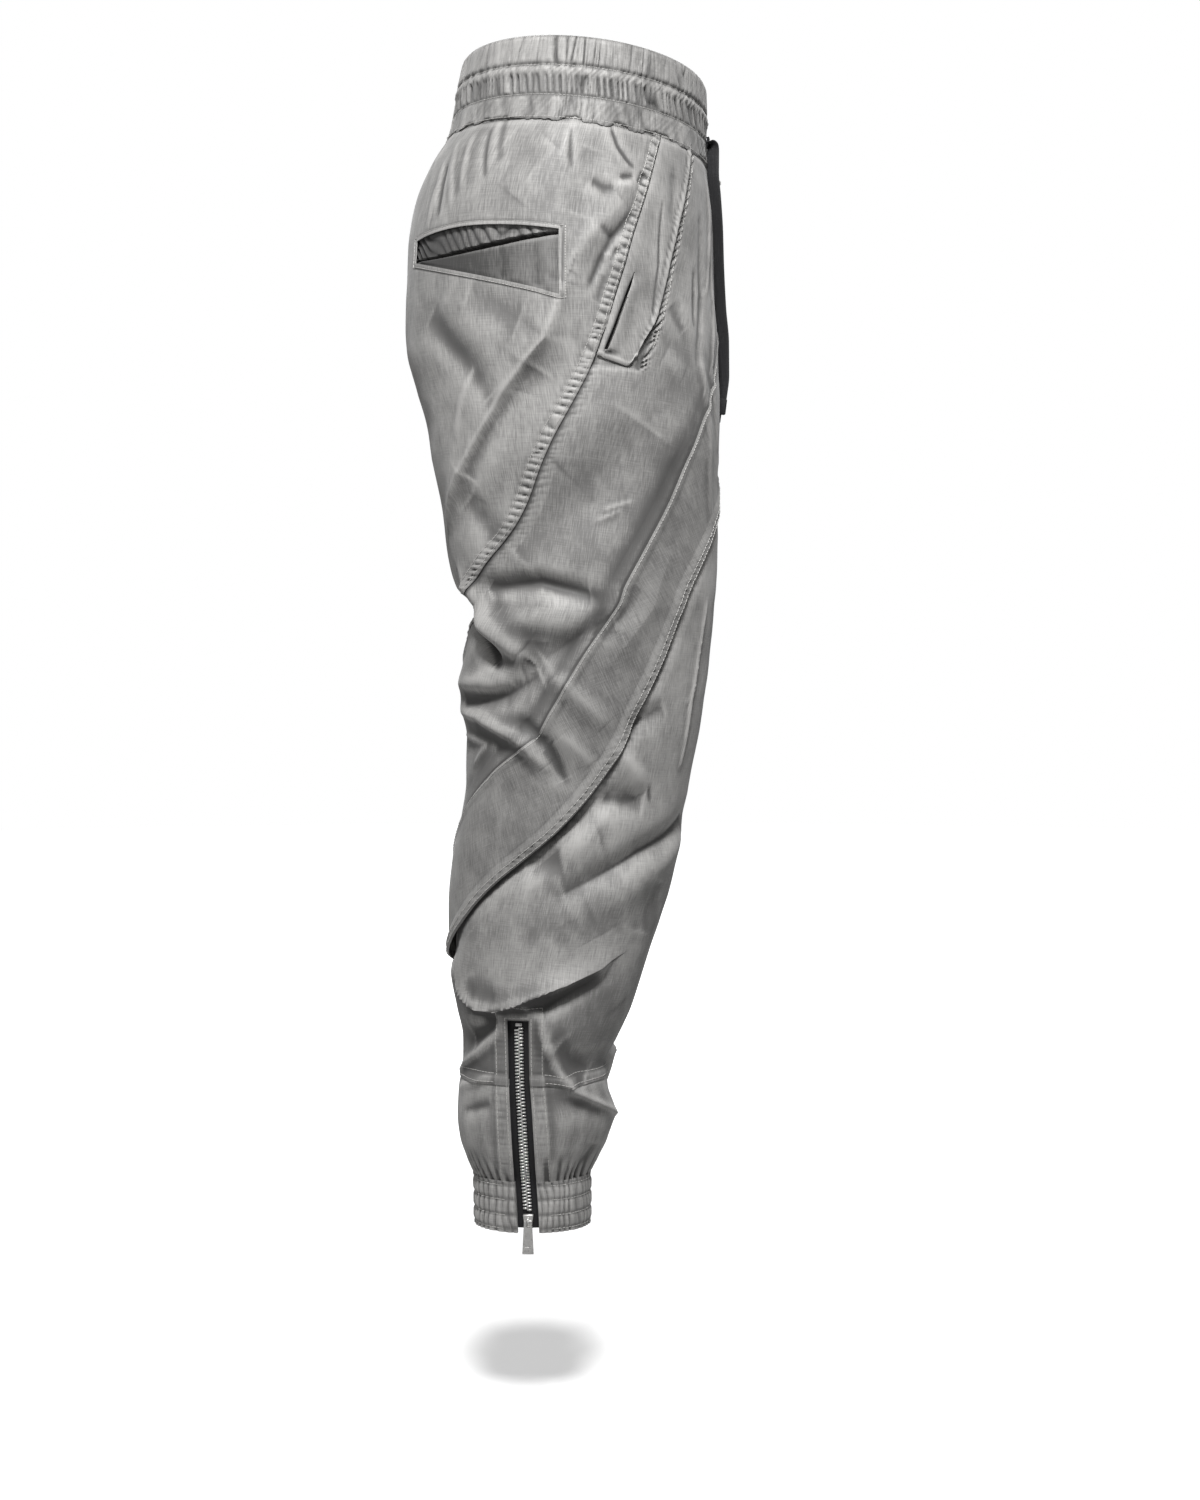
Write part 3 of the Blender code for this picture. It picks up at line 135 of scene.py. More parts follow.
# ---------------------------------------------------------------- creases
# Each crease follows a path of (forward, height) points in millimetres over a face of a leg. Depth is
# negative for a trough, lean steepens and droops its lower side, sharp draws its crest to a line, and twin
# says which creases of the left leg lie shifted together.
Crease = namedtuple("Crease", "name twin width depth lean sharp path")
OUTER_CREASES = tuple(Crease(*row) for row in (
    ("hip_drape_a", 2, 5, -1.5, 0, 0, ((-77, -39), (-82, -80))),
    ("hip_drape_b", 2, 6, 1.5, 0, 0, ((-20, -39), (-29, -74))),
    ("band_tuck", 2, 3, -2.2, 0, 0.6, ((9, -45), (15, -61), (22, -70), (27, -75))),
    ("hip_dent_a", 2, 6, -3, 0, 0.2, ((-6, -92), (4, -97), (12, -96))),
    ("hip_dent_b", 2, 4.5, -3.5, 0, 0.4, ((37, -78), (31, -88))),
    ("hip_dent_c", 2, 4.5, -2.5, 0, 0.4, ((27, -82), (16, -86))),
    ("hip_dent_puff", 2, 6, 2.5, 0, 0.2, ((26, -92), (14, -92))),
    ("hip_line_a", 2, 3, -1.6, 0, 0.5, ((-23, -50), (-23, -82))),
    ("hip_line_b", 2, 3.5, -1.8, 0, 0.5, ((-90, -52), (-93, -92))),
    ("hip_line_c", 2, 4, 2, 0, 0.5, ((-104, -55), (-112, -100))),
    ("hip_line_d", 2, 4, -2.2, 0, 0.5, ((-127, -78), (-134, -120))),
    ("hip_line_e", 2, 4, 2.2, 0, 0.5, ((-136, -96), (-142, -128))),
    ("hip_soft_a", 2, 16, -2.5, 0, 0, ((-75, -62), (-50, -84))),
    ("hip_soft_b", 2, 18, 2.5, 0, 0, ((-36, -66), (-66, -112))),
    ("hip_soft_c", 2, 14, -2, 0, 0, ((-6, -66), (-20, -120))),
    ("window_fan_a", 2, 5, -2, 0, 0.3, ((0, -128), (12, -139))),
    ("window_fan_b", 2, 5, 2, 0, 0.4, ((2, -150), (14, -153))),
    ("window_fan_c", 2, 6, -2, 0, 0.3, ((4, -168), (-2, -190))),
    ("patch_line", 2, 2.4, -1.6, 0, 0.7, ((50, -99), (48, -129), (47, -155), (44, -178), (42, -198))),
    ("patch_hollow", 2, 7, -2.2, 0, 0.1, ((60, -70), (58, -115))),
    ("front_drape", 27, 5, -3, 0, 0.3, ((79, -150), (78, -200))),
    ("front_dimple", 27, 9, -2.6, 0, 0.1, ((58, -186), (69, -206))),
    ("front_puff", 27, 12, 2.2, 0, 0, ((52, -228), (68, -243))),
    ("back_drape_a", 2, 4, 1.5, 0, 0.5, ((-117, -58), (-121, -113))),
    ("back_drape_b", 2, 4, 1.5, 0, 0.5, ((-130, -74), (-136, -110))),
    ("hip_sweep", 2, 5, -4.2, 0, 0.5, ((25, -116), (11, -136), (3, -151), (-8, -176))),
    ("hip_sweep_ridge", 2, 10, 3, 0, 0.2, ((18, -105), (-10, -140), (-23, -166))),
    ("hip_snick", 2, 3, -2.5, 0, 0.5, ((21, -143), (14, -146), (8, -155))),
    ("long_crease", 0, 19, 10, 0.4, 0.8, ((-28, -175), (-43, -217), (-77, -259), (-105, -306), (-122, -360))),
    ("long_crease_hollow", 1, 16, -8, 0, 0.1, ((-52, -241), (-83, -280), (-108, -324))),
    ("thigh_line", 0, 4, 2, 0, 0.7, ((-104, -240), (-112, -268), (-116, -290))),
    ("thigh_hollow", 2, 14, -5, 0, 0, ((-140, -197), (-112, -231), (-88, -262))),
    ("seat_hollow", 2, 16, -3, 0, 0, ((-106, -182), (-65, -206))),
    ("thigh_swell", 0, 12, 3, 0, 0, ((-65, -259), (-83, -304), (-98, -345))),
    ("thigh_dip", 1, 12, -4, 0, 0, ((-82, -378), (-106, -345))),
    ("side_hollow", 3, 22, -6, 0, 0, ((33, -286), (-8, -345), (-65, -394))),
    ("side_swell", 3, 26, 3, 0, 0, ((73, -296), (16, -280), (-33, -320))),
    ("side_snick_a", 3, 3, 1, 0, 0.6, ((4, -355), (26, -348))),
    ("side_snick_b", 3, 3, 1, 0, 0.6, ((-2, -364), (18, -355))),
    ("knee_hollow", 4, 9, -10, 0, 0.2, ((-91, -417), (-49, -413), (-8, -422))),
    ("knee_ridge", 5, 17, 7, 0.15, 0, ((-93, -440), (-45, -441), (-3, -449))),
    ("lobe", 6, 12, 11, 0.35, 0, ((-109, -412), (-88, -444), (-64, -469))),
    ("lobe_slot", 7, 5.5, -18, 0, 0.5, ((-107, -433), (-96, -455), (-83, -476))),
    ("lobe_side", 6, 9, -3, 0, 0, ((-51, -459), (-55, -477), (-72, -493))),
    ("knee_valley", 8, 11, -5, 0, 0.2, ((10, -441), (-16, -454), (-45, -474))),
    ("calf_ridge", 9, 10, 5, 0.2, 0, ((-116, -493), (-86, -496), (-62, -487))),
    ("calf_hollow", 10, 11, -9, 0, 0.2, ((-112, -511), (-77, -503), (-49, -487))),
    ("calf_fold", 11, 8, 7, 0.25, 0.25, ((-114, -516), (-98, -520), (-80, -530), (-62, -541), (-44, -560))),
    ("calf_step", 12, 7, -5, 0, 0.3, ((-62, -524), (-44, -543), (-28, -570))),
    ("calf_tight_a", 11, 4, 3, 0.2, 0.6, ((-109, -536), (-93, -542))),
    ("calf_tight_b", 11, 4, 2.5, 0.2, 0.6, ((-91, -544), (-101, -560))),
    ("sweep_ridge", 8, 9, 4.5, 0, 0.3, ((-36, -488), (5, -526))),
    ("sweep_gleam", 12, 7, 3, 0, 0.3, ((-31, -536), (-7, -558))),
    ("shin_ridge", 13, 9, 5, 0, 0.3, ((13, -544), (28, -567), (33, -583))),
    ("shin_pocket", 14, 12, -7, 0, 0.1, ((0, -585), (36, -588))),
    ("shin_valley", 15, 10, -5, 0, 0.2, ((23, -529), (52, -513))),
    ("shin_snick", 14, 3, -1.5, 0, 0.6, ((39, -575), (41, -588))),
    ("front_crease", 15, 4, 3.5, 0.2, 0.8, ((86, -430), (79, -471), (73, -508), (65, -561))),
    ("shin_sweep", 16, 11, -9, 0, 0.4, ((72, -604), (33, -630), (-29, -661))),
    ("shin_sweep_ridge", 17, 17, 3, 0.2, 0, ((82, -617), (41, -648), (-8, -675))),
    ("shin_swell", 16, 16, 3, 0, 0, ((0, -618), (-33, -630))),
    ("calf_dent", 18, 12, -5, 0, 0, ((-59, -640), (-31, -632))),
    ("ankle_fold", 19, 9, 9, 0.6, 0.7, ((-116, -739), (-101, -751), (-82, -753), (-36, -732), (3, -717))),
    ("ankle_fold_under", 20, 7, -8, 0, 0.3, ((-106, -759), (-82, -764), (-52, -754), (0, -728))),
    ("tent", 21, 6, 6, 0.3, 0.6, ((-64, -748), (-52, -764), (-43, -787))),
    ("tent_hollow", 21, 12, -6, 0, 0.1, ((-36, -785), (-13, -811))),
    ("point_crest", 22, 11, 10, 0.3, 0.7, ((-44, -782), (-23, -818), (11, -844))),
    ("point_under", 22, 9, -4, 0, 0.2, ((-3, -866), (-20, -895))),
    ("ankle_dark", 23, 9, -7, 0, 0.2, ((-103, -780), (-86, -765))),
    ("ankle_ridge", 24, 7, 5, 0.2, 0.6, ((-116, -811), (-98, -792), (-83, -775))),
    ("ankle_wrinkle_a", 24, 5, 2.5, 0.2, 0.5, ((-112, -821), (-86, -809))),
    ("ankle_wrinkle_b", 24, 6, -2.5, 0, 0.4, ((-109, -839), (-88, -831))),
    ("shin_low", 17, 14, -3, 0, 0, ((49, -655), (33, -695))),
    ("shin_low_ridge", 17, 20, 3, 0, 0, ((0, -695), (16, -752))),
    ("fly_fold_a", 26, 3.5, 2.5, 0, 0.5, ((90, -62), (92, -110), (89, -165))),
    ("fly_fold_b", 27, 3.5, 2.5, 0, 0.5, ((94, -120), (95, -180), (92, -240), (96, -300))),
    ("front_fall_a", 27, 6, -3, 0, 0.3, ((84, -100), (85, -170), (80, -230))),
    ("front_fall_b", 28, 5, 2.5, 0, 0.4, ((84, -230), (88, -290), (90, -360))),
    ("sweep_drag_a", 3, 8, -2.5, 0, 0.2, ((33, -417), (0, -459))),
    ("sweep_drag_b", 3, 8, 2.5, 0, 0.3, ((55, -394), (41, -435), (8, -479))),
))
INNER_CREASES = tuple(Crease(*row) for row in (
    ("seat_under", 0, 16, -6, 0, 0, ((-110, -350), (-40, -385), (40, -372))),
    ("thigh_inner", 1, 16, 7, 0.3, 0.4, ((-112, -405), (-60, -418), (10, -405))),
    ("knee_inner", 2, 15, -8, 0, 0.3, ((-112, -440), (-50, -452), (20, -440))),
    ("knee_inner_ridge", 3, 15, 6, 0.3, 0.4, ((-114, -470), (-40, -488), (40, -466))),
    ("calf_inner", 4, 16, -6, 0, 0.2, ((-115, -520), (-50, -540), (20, -560))),
    ("calf_inner_ridge", 5, 18, 5, 0.2, 0.4, ((60, -500), (10, -560), (-50, -600))),
    ("shin_inner", 6, 18, -6, 0, 0.3, ((55, -590), (0, -640), (-70, -668))),
    ("low_inner_ridge", 7, 16, 7, 0.3, 0.5, ((-118, -700), (-60, -728), (0, -712))),
    ("low_inner", 8, 14, -6, 0, 0.3, ((-114, -752), (-60, -762), (-10, -742))),
    ("ankle_inner_ridge", 9, 14, 6, 0.3, 0.5, ((-110, -800), (-60, -786), (-5, -806))),
    ("ankle_inner", 10, 15, -4, 0, 0.2, ((-108, -850), (-50, -862), (-10, -850))),
))


# ---------------------------------------------------------------- settings
def length(name, description, millimetres):
    return FloatProperty(name=name, description=description, default=millimetres * MM, unit="LENGTH")


def amount(name, description, default):
    return FloatProperty(name=name, description=description, default=default)


def count(name, description, default):
    return IntProperty(name=name, description=description, default=default)


def colour(name, description, default):
    return FloatVectorProperty(name=name, description=description, default=default, size=3, subtype="COLOR")


class ClothSettings(bpy.types.PropertyGroup):
    """Sizes and colours of the woven cloth."""

    near_cell: length("Right cell", "Mesh cell of the right leg", 2.1)
    far_cell: length("Left cell", "Mesh cell of the left leg", 3.6)
    wall: length("Wall", "Thickness of one layer", 0.75)
    crumple: length("Crumple", "Depth of the small wrinkles", 1.0)
    light: colour("Worn colour", "The cloth where it is worn pale", (0.45, 0.442, 0.43))
    # The dark end of the tone: deep dye in the mottle and slubs, and also where hollows get painted shade.
    dark: colour("Deep colour", "The cloth where the dye is deepest", (0.225, 0.221, 0.216))


class SewingSettings(bpy.types.PropertyGroup):
    """Stitches and gathers."""

    stitch: length("Stitch", "Length of a stitch", 2.5)
    stitch_gap: length("Gap", "Between two stitches", 0.8)
    thread: length("Thread", "Thickness of the thread", 0.5)
    band_gathers: count("Band gathers", "Gathers of the top channel", 84)
    band_pleats: count("Band pleats", "Pleats of the second channel", 88)
    cuff_gathers: count("Cuff gathers", "Gathers round a cuff", 46)
    thread_colour: colour("Thread colour", "Colour of the thread", (0.64, 0.63, 0.61))


class TrimSettings(bpy.types.PropertyGroup):
    """Zips, eyelets and the drawstring."""

    tooth_pitch: length("Tooth pitch", "From one tooth to the next", 2.7)
    cord_width: length("Webbing", "Width of the drawstring", 11)
    cord_thickness: length("Thickness", "Of the drawstring", 1.8)
    metal: colour("Nickel", "Colour of teeth, sliders and pulls", (0.82, 0.81, 0.79))
    black: colour("Black", "Colour of zip tapes and webbing", (0.010, 0.010, 0.011))


class StageSettings(bpy.types.PropertyGroup):
    """Floor, light and camera."""

    floor_height: length("Floor", "Height of the floor", -1080)
    key_power: amount("Key", "Power of the key light in watts", 73.0)
    fill_power: amount("Fill", "Power of the fill light in watts", 4.0)
    ambient: amount("Ambient", "Strength of the light from all round", 0.22)
    camera_distance: length("Distance", "Camera from the middle", 2090)
    camera_height: length("Height", "Height of the camera", -459)
    lens: amount("Lens", "Focal length in millimetres", 57.4)


def cloth():
    return bpy.context.scene.trousers_cloth


def sewing():
    return bpy.context.scene.trousers_sewing


def trim():
    return bpy.context.scene.trousers_trim


# ---------------------------------------------------------------- small maths
def smooth_curve(xs, ys):
    """A smooth function through the points for whole arrays. Past the ends it keeps the end value."""
    xs, ys = np.array(xs, float), np.array(ys, float)
    if xs[0] > xs[-1]:
        xs, ys = xs[::-1], ys[::-1]
    rates = np.diff(ys) / np.diff(xs)
    slopes = np.concatenate(([rates[0]], np.zeros(len(xs) - 2), [rates[-1]]))
    same = rates[:-1] * rates[1:] > 0
    slopes[1:-1][same] = 2 * (rates[:-1] * rates[1:])[same] / (rates[:-1] + rates[1:])[same]

    def value(x):
        x = np.clip(x, xs[0], xs[-1])
        i = np.clip(np.searchsorted(xs, x, side="right") - 1, 0, len(xs) - 2)
        width = xs[i + 1] - xs[i]
        t = (x - xs[i]) / width
        curve = slopes[i] * width * t * (1 - t) ** 2 - slopes[i + 1] * width * t * t * (1 - t)
        return ys[i] + (ys[i + 1] - ys[i]) * t * t * (3 - 2 * t) + curve

    return value


def smoothstep(x):
    t = np.clip(x, 0.0, 1.0)
    return t * t * (3 - 2 * t)


def hump(x):
    return np.exp(-x * x)


def noise(points, size, seed):
    """Smooth noise from -1 to 1 over points of any number of axes, its blobs about size wide."""
    count = 32
    table = np.random.RandomState(seed).uniform(-1, 1, (count,) * points.shape[-1])
    at = points / size
    cell = np.floor(at).astype(int)
    t = at - cell
    t = t * t * (3 - 2 * t)
    total = 0.0
    for corner in np.ndindex(*(2,) * points.shape[-1]):
        weight = 1.0
        index = []
        for axis, step in enumerate(corner):
            weight = weight * (t[..., axis] if step else 1 - t[..., axis])
            index.append((cell[..., axis] + step) % count)
        total = total + weight * table[tuple(index)]
    return total


def wavering(x, size, seed):
    return noise(np.asarray(x, float)[..., None], size, seed)


def pleat(phase, blunt=0.6):
    """Rounded crests with a sharp valley at each whole number, from -1 to about 0.5."""
    return 1.5 * np.abs(np.sin(np.pi * phase)) ** blunt - 1.0


VALLEYS_BEFORE_REPEAT = 97


def valleys(phase, seed, width):
    """Narrow valleys at whole numbers, each with its own depth, down to -1, and flat cloth between them."""
    depths = np.random.RandomState(seed).uniform(0.05, 1.0, VALLEYS_BEFORE_REPEAT) ** 1.4
    nearest = np.round(phase).astype(int)
    return -depths[nearest % VALLEYS_BEFORE_REPEAT] * np.exp(-np.abs(phase - nearest) / width)


# ---------------------------------------------------------------- the surface
SECTION_AT = {
    name: smooth_curve([s.z * MM for s in SECTIONS], [getattr(s, name) * MM for s in SECTIONS])
    for name in Section._fields[1:]
}


def middle_angle(z):
    """The angle at which a section meets the middle plane, or 180 where it closes at the inseam."""
    centre, inner = SECTION_AT["centre"](z), SECTION_AT["inner"](z)
    cut = np.degrees(np.arccos(np.clip(-centre / (centre - inner), -1, 1)))
    return np.where(inner >= 0, 180.0, cut)


def bare_point(angle, z):
    """(out, forward, direction out, direction forward, mean radius) of the surface without its folds."""
    back, front, outer, centre, inner = (SECTION_AT[name](z) for name in Section._fields[1:])
    c, f = np.cos(np.radians(angle)), np.sin(np.radians(angle))
    across = np.where(c > 0, outer - centre, centre - inner)
    depth = (front - back) / 2
    steer_out, steer_forward = c / across, f / depth
    size = np.hypot(steer_out, steer_forward)
    radius = (outer - centre + depth) / 2
    return centre + across * c, (front + back) / 2 + depth * f, steer_out / size, steer_forward / size, radius


def radius_at(z):
    return bare_point(0.0, z)[4]


def face_angle(forward, z, inner):
    """The angle at which the outer or inner face of a leg reaches a forward place."""
    back, front = SECTION_AT["back"](z), SECTION_AT["front"](z)
    angle = np.degrees(np.arcsin(np.clip((2 * forward - front - back) / (front - back), -0.998, 0.998)))
    return 180 - angle if inner else angle


ZIP_FORWARD = smooth_curve(np.array((-763, -805, -845, -885, -925, -936)) * MM,
                           np.array((-65.6, -64.8, -62.6, -60.4, -57.8, -57.4)) * MM)


def zip_angle(z):
    return face_angle(ZIP_FORWARD(z), z, False)


LaidCrease = namedtuple("LaidCrease", "middle radius path width depth lean sharp")


def lay_crease(crease, inner, side):
    """A crease on the flattened surface round its own middle angle. The left leg's are shifted and scaled."""
    left = side == "left"
    shift = LEFT_SHIFT * math.sin(2.3 * crease.twin) if left else 0.0
    share = 0.9 + 0.2 * math.cos(1.7 * crease.twin) if left else 1.0
    heights = np.array([z * MM + shift for _, z in crease.path])
    angles = face_angle(np.array([f * MM for f, _ in crease.path]), heights, inner)
    middle = (angles.min() + angles.max()) / 2
    radius = float(radius_at((heights[0] + heights[-1]) / 2))
    path = np.stack((np.radians(angles - middle) * radius, heights), 1)
    depth = crease.depth * MM * share
    return LaidCrease(middle, radius, path, crease.width * MM, depth, crease.lean, crease.sharp)


CREASES = {
    side: [lay_crease(crease, inner, side)
           for inner, creases in enumerate((OUTER_CREASES, INNER_CREASES)) for crease in creases]
    for side in SIDES
}


def crease_height(laid, angle, z):
    """Height of one crease over flat arrays of places near it."""
    here = np.stack((np.radians((angle - laid.middle + 180) % 360 - 180) * laid.radius, z), 1)
    lengths = np.hypot(*np.diff(laid.path, axis=0).T)
    best, along = np.full(len(here), 1e9), np.zeros(len(here))
    for i, (a, b) in enumerate(zip(laid.path, laid.path[1:])):
        run = b - a
        share = np.clip(((here - a) @ run) / (run @ run), 0, 1)
        off = here - (a + share[:, None] * run)
        down = np.array((run[1], -run[0])) if run[0] > 0 else np.array((-run[1], run[0]))
        narrow = np.where(off @ down > 0, 1 - laid.lean, 1.0)
        reach = np.hypot(off[:, 0], off[:, 1]) / (laid.width * narrow)
        nearer = reach < best
        best = np.where(nearer, reach, best)
        along = np.where(nearer, (lengths[:i].sum() + share * lengths[i]) / lengths.sum(), along)
    profile = (1 - laid.sharp) * hump(best) + laid.sharp * np.exp(-1.6 * best) * smoothstep((4 - best) / 2)
    return laid.depth * profile * (0.35 + 0.65 * np.sqrt(np.sin(np.pi * along) + 1e-9))


def fold_field(side, angle, z):
    """(height, droop) of all creases together over arrays of any shape."""
    shape = np.shape(angle)
    angle, z = np.ravel(angle), np.ravel(z)
    height, droop = np.zeros(len(angle)), np.zeros(len(angle))
    for laid in CREASES[side]:
        room = 4 * laid.width
        across = np.radians((angle - laid.middle + 180) % 360 - 180) * laid.radius
        near = (z > laid.path[:, 1].min() - room) & (z < laid.path[:, 1].max() + room)
        near &= (across > laid.path[:, 0].min() - room) & (across < laid.path[:, 0].max() + room)
        if near.any():
            raised = crease_height(laid, angle[near], z[near])
            height[near] += raised
            droop[near] += laid.lean * np.maximum(raised, 0)
    return height.reshape(shape), droop.reshape(shape)


def crumple(side, out, forward, z):
    """Small wrinkles, longer down the leg than round it, with a few sharper crests."""
    at = np.stack(np.broadcast_arrays(SIDES[side] * out, forward, 0.6 * z), -1)
    seed = 11 if side == "right" else 47
    soft = noise(at, 46 * MM, seed) + 0.45 * noise(at, 19 * MM, seed + 1) + 0.16 * noise(at, 8 * MM, seed + 2)
    crest = 0.55 - 1.6 * np.abs(noise(at, 34 * MM, seed + 3))
    return cloth().crumple * (soft + 0.7 * crest)


# ---------------------------------------------------------------- seams
class SewnSeam:
    """A seam on the surface: its angle, steepness and length along it at any height."""

    def __init__(self, seam):
        self.seam = seam
        heights = [z * MM for z, _ in seam.path]
        self.top, self.foot = heights[0], heights[-1]
        self.angle_at = smooth_curve(heights, [angle for _, angle in seam.path])
        z = np.arange(self.foot, self.top + MM, MM)
        angle, radius = np.radians(self.angle_at(z)), radius_at(z)
        steep = np.hypot(1, radius * np.gradient(angle, z))
        along = np.concatenate(([0], np.cumsum((steep[1:] + steep[:-1]) / 2 * MM)))
        self.steep_at = smooth_curve(z, np.minimum(steep, 5))
        self.along_at = smooth_curve(z, along)

    def place(self, angle, z):
        """(distance in front of the seam, length along it, 1 where the seam is there)."""
        distance = np.radians(angle - self.angle_at(z)) * radius_at(z) / self.steep_at(z)
        there = smoothstep((z - self.foot) / (6 * MM)) * smoothstep((self.top - z) / (6 * MM))
        return distance, self.along_at(z), there

    def beside(self, z, distance):
        """The angle of a line beside the seam, in front of it where distance is positive."""
        return self.angle_at(z) + np.degrees(distance * self.steep_at(z) / radius_at(z))


HIP, POCKET, SWEEP, LAPPED = (SewnSeam(s) for s in (HIP_SEAM, POCKET_SEAM, SWEEP_SEAM, LAPPED_SEAM))
# The seams at each panel's edges: the seam, 1 where the panel lies in front of it, and whether it laps over.
PANEL_SEAMS = {
    "hip": ((HIP, -1, True),),
    "patch": ((POCKET, -1, True),),
    "side": ((HIP, 1, False), (SWEEP, -1, False), (POCKET, 1, False)),
    "sweep": ((SWEEP, 1, True), (LAPPED, -1, True)),
    "leg": ((LAPPED, 1, False),),
    "ankle": (),
    "plain": (),
}


def seam_lift(panel, angle, z):
    """How far a panel's surface is raised or sunk by the seams at its edges, puckers included."""
    lift = np.zeros(np.broadcast(angle, z).shape)
    for sewn, front, over in PANEL_SEAMS[panel]:
        seam = sewn.seam
        distance, along, there = sewn.place(angle, z)
        inwards = distance * front / MM
        phase = along / (seam.wave * MM) + 0.7 * wavering(along, 14 * MM, 5) + seam.slant * inwards
        strength = seam.pucker * (1 + 0.35 * wavering(along, 23 * MM, 6))
        puckers = strength * pleat(phase, 0.9) * hump((inwards - seam.reach / 2) / (seam.reach * 0.45))
        if over:
            edge = -0.9 * seam.rise * hump(inwards / 0.7)
            rise = seam.rise * (1 - smoothstep((inwards - seam.lap) / (0.7 * seam.reach))) + edge
            rise = np.where(inwards > -12, rise, 0)
        else:
            rise = -seam.sink * (1 - smoothstep(inwards / 9)) - 0.3 * (inwards < 0)
            puckers = puckers * seam.under
        lift = lift + there * (rise + puckers) * MM
    return lift


def seam_shade(panel, angle, z):
    """Painted shade: darkening along a seam where its upper layer covers the lower one's edge, a shaded band
    beside the sweep seam and a toned-down hip. The side panel is also darker overall, lower down and towards
    the front, and the leg lower down.
    """
    shade = np.zeros(np.broadcast(angle, z).shape)
    for sewn, front, over in PANEL_SEAMS[panel]:
        distance, _, there = sewn.place(angle, z)
        inwards = distance * front / MM
        # Painted shade along the edge that the upper layer covers.
        shade = shade + there * (0.0 if over else 2.6) * hump(inwards / 2.1)
    if panel == "side":
        beside, _, there = SWEEP.place(angle, z)
        # Painted shade in a band beside the sweep seam; the panel is also darker overall and lower down.
        shade = shade + 0.9 * there * hump((beside / MM + 9) / 9) + 0.3 + 0.4 * smoothstep((-0.24 - z) / 0.1)
        # Darker towards the front, lower down.
        shade = shade + 0.6 * smoothstep((angle - 12) / 30) * smoothstep((-0.18 - z) / 0.08)
    if panel == "hip":
        # Painted shade that tones down the hip, most at its top.
        shade = shade + 0.45 - 0.3 * smoothstep((-0.18 - z) / 0.1)
    if panel == "leg":
        # Darker lower down the leg.
        shade = shade + 0.7 * smoothstep((-0.6 - z) / 0.1) + 0.45 * smoothstep((-0.66 - z) / 0.06)
    return shade


SLIT_TOP, SLIT_FOOT = -162 * MM, -230 * MM


def slit_angle(z):
    """The angle of the front pocket's mouth, which runs beside the hip seam."""
    return HIP.beside(z, (10.5 - 5.2 * np.clip((SLIT_TOP - z) / (SLIT_TOP - SLIT_FOOT), 0, 1)) * MM)


def slit_place(angle, z):
    """(millimetres in front of the pocket's mouth, how far the mouth is open from 0 to 1)."""
    opened = smoothstep((SLIT_TOP - z) / (16 * MM)) * smoothstep((z - SLIT_FOOT) / (3 * MM))
    return np.radians(angle - slit_angle(z)) * radius_at(z) / MM, opened


def special_lift(panel, angle, z):
    """Dips and swells that only one panel has."""
    if panel == "side":
        beside, _, there = SWEEP.place(angle, z)
        shaded = hump((beside / MM + 10) / 6) * smoothstep((-0.28 - z) / 0.06) * smoothstep((z + 0.6) / 0.05)
        distance, opened = slit_place(angle, z)
        return (-1.2 * shaded * there - 6.0 * hump(distance / 4.5) * opened) * MM
    if panel == "leg":
        beside, _, there = LAPPED.place(angle, z)
        gap = hump((z + 0.601) / 0.02) + 0.4 * hump((z + 0.64) / 0.03) + 0.6 * hump((z + 0.712) / 0.02)
        return -7.0 * MM * gap * there * (1 - smoothstep((beside / MM - 3) / 20))
    return 0.0


MIDDLE_GROOVE = 1.1 * MM  # depth of the middle seam


def cloth_point(side, panel, angle, z, lift=0.0):
    """Points of a panel's outer surface, raised by lift, for arrays of any one shape."""
    angle, z, lift = np.broadcast_arrays(*(np.asarray(value, float) for value in (angle, z, lift)))
    out, forward, steer_out, steer_forward, radius = bare_point(angle, z)
    height, droop = fold_field(side, angle, z)
    calm = smoothstep(out / FOLD_FADE)
    beside_zip = np.abs(np.radians(angle - zip_angle(z))) * radius
    by_zip = smoothstep((ZIP_TOP + 16 * MM - z) / ZIP_CALM) * (1 - smoothstep(beside_zip / ZIP_CALM - 1))
    calm = calm * (1 - by_zip)
    height = (height + crumple(side, out, forward, z)) * calm
    height = height + seam_lift(panel, angle, z) + special_lift(panel, angle, z) + lift
    joined_here = (z > CROTCH) & ((angle < 0) | (z < FLY_FOOT - 6 * MM))
    groove = MIDDLE_GROOVE * hump(out / (1.4 * MM)) * joined_here
    out = np.maximum(out + steer_out * height, np.where(np.abs(angle) > 89, HALF_GAP, 0.0))
    if side == "right":
        out = out - MIDDLE_LAP * (z > CROTCH) * (1 - smoothstep(out / (2 * MM)))
    forward = forward + steer_forward * (height - groove)
    drop = FRONT_DROP * smoothstep((z - DROP_ENDS) / DROP_FADES)
    return np.stack((SIDES[side] * out, -forward, z - forward * drop - droop * calm), -1)


# ---------------------------------------------------------------- meshes
def deselect():
    for obj in bpy.context.selected_objects:
        obj.select_set(False)


def make_active(obj):
    deselect()
    obj.select_set(True)
    bpy.context.view_layer.objects.active = obj


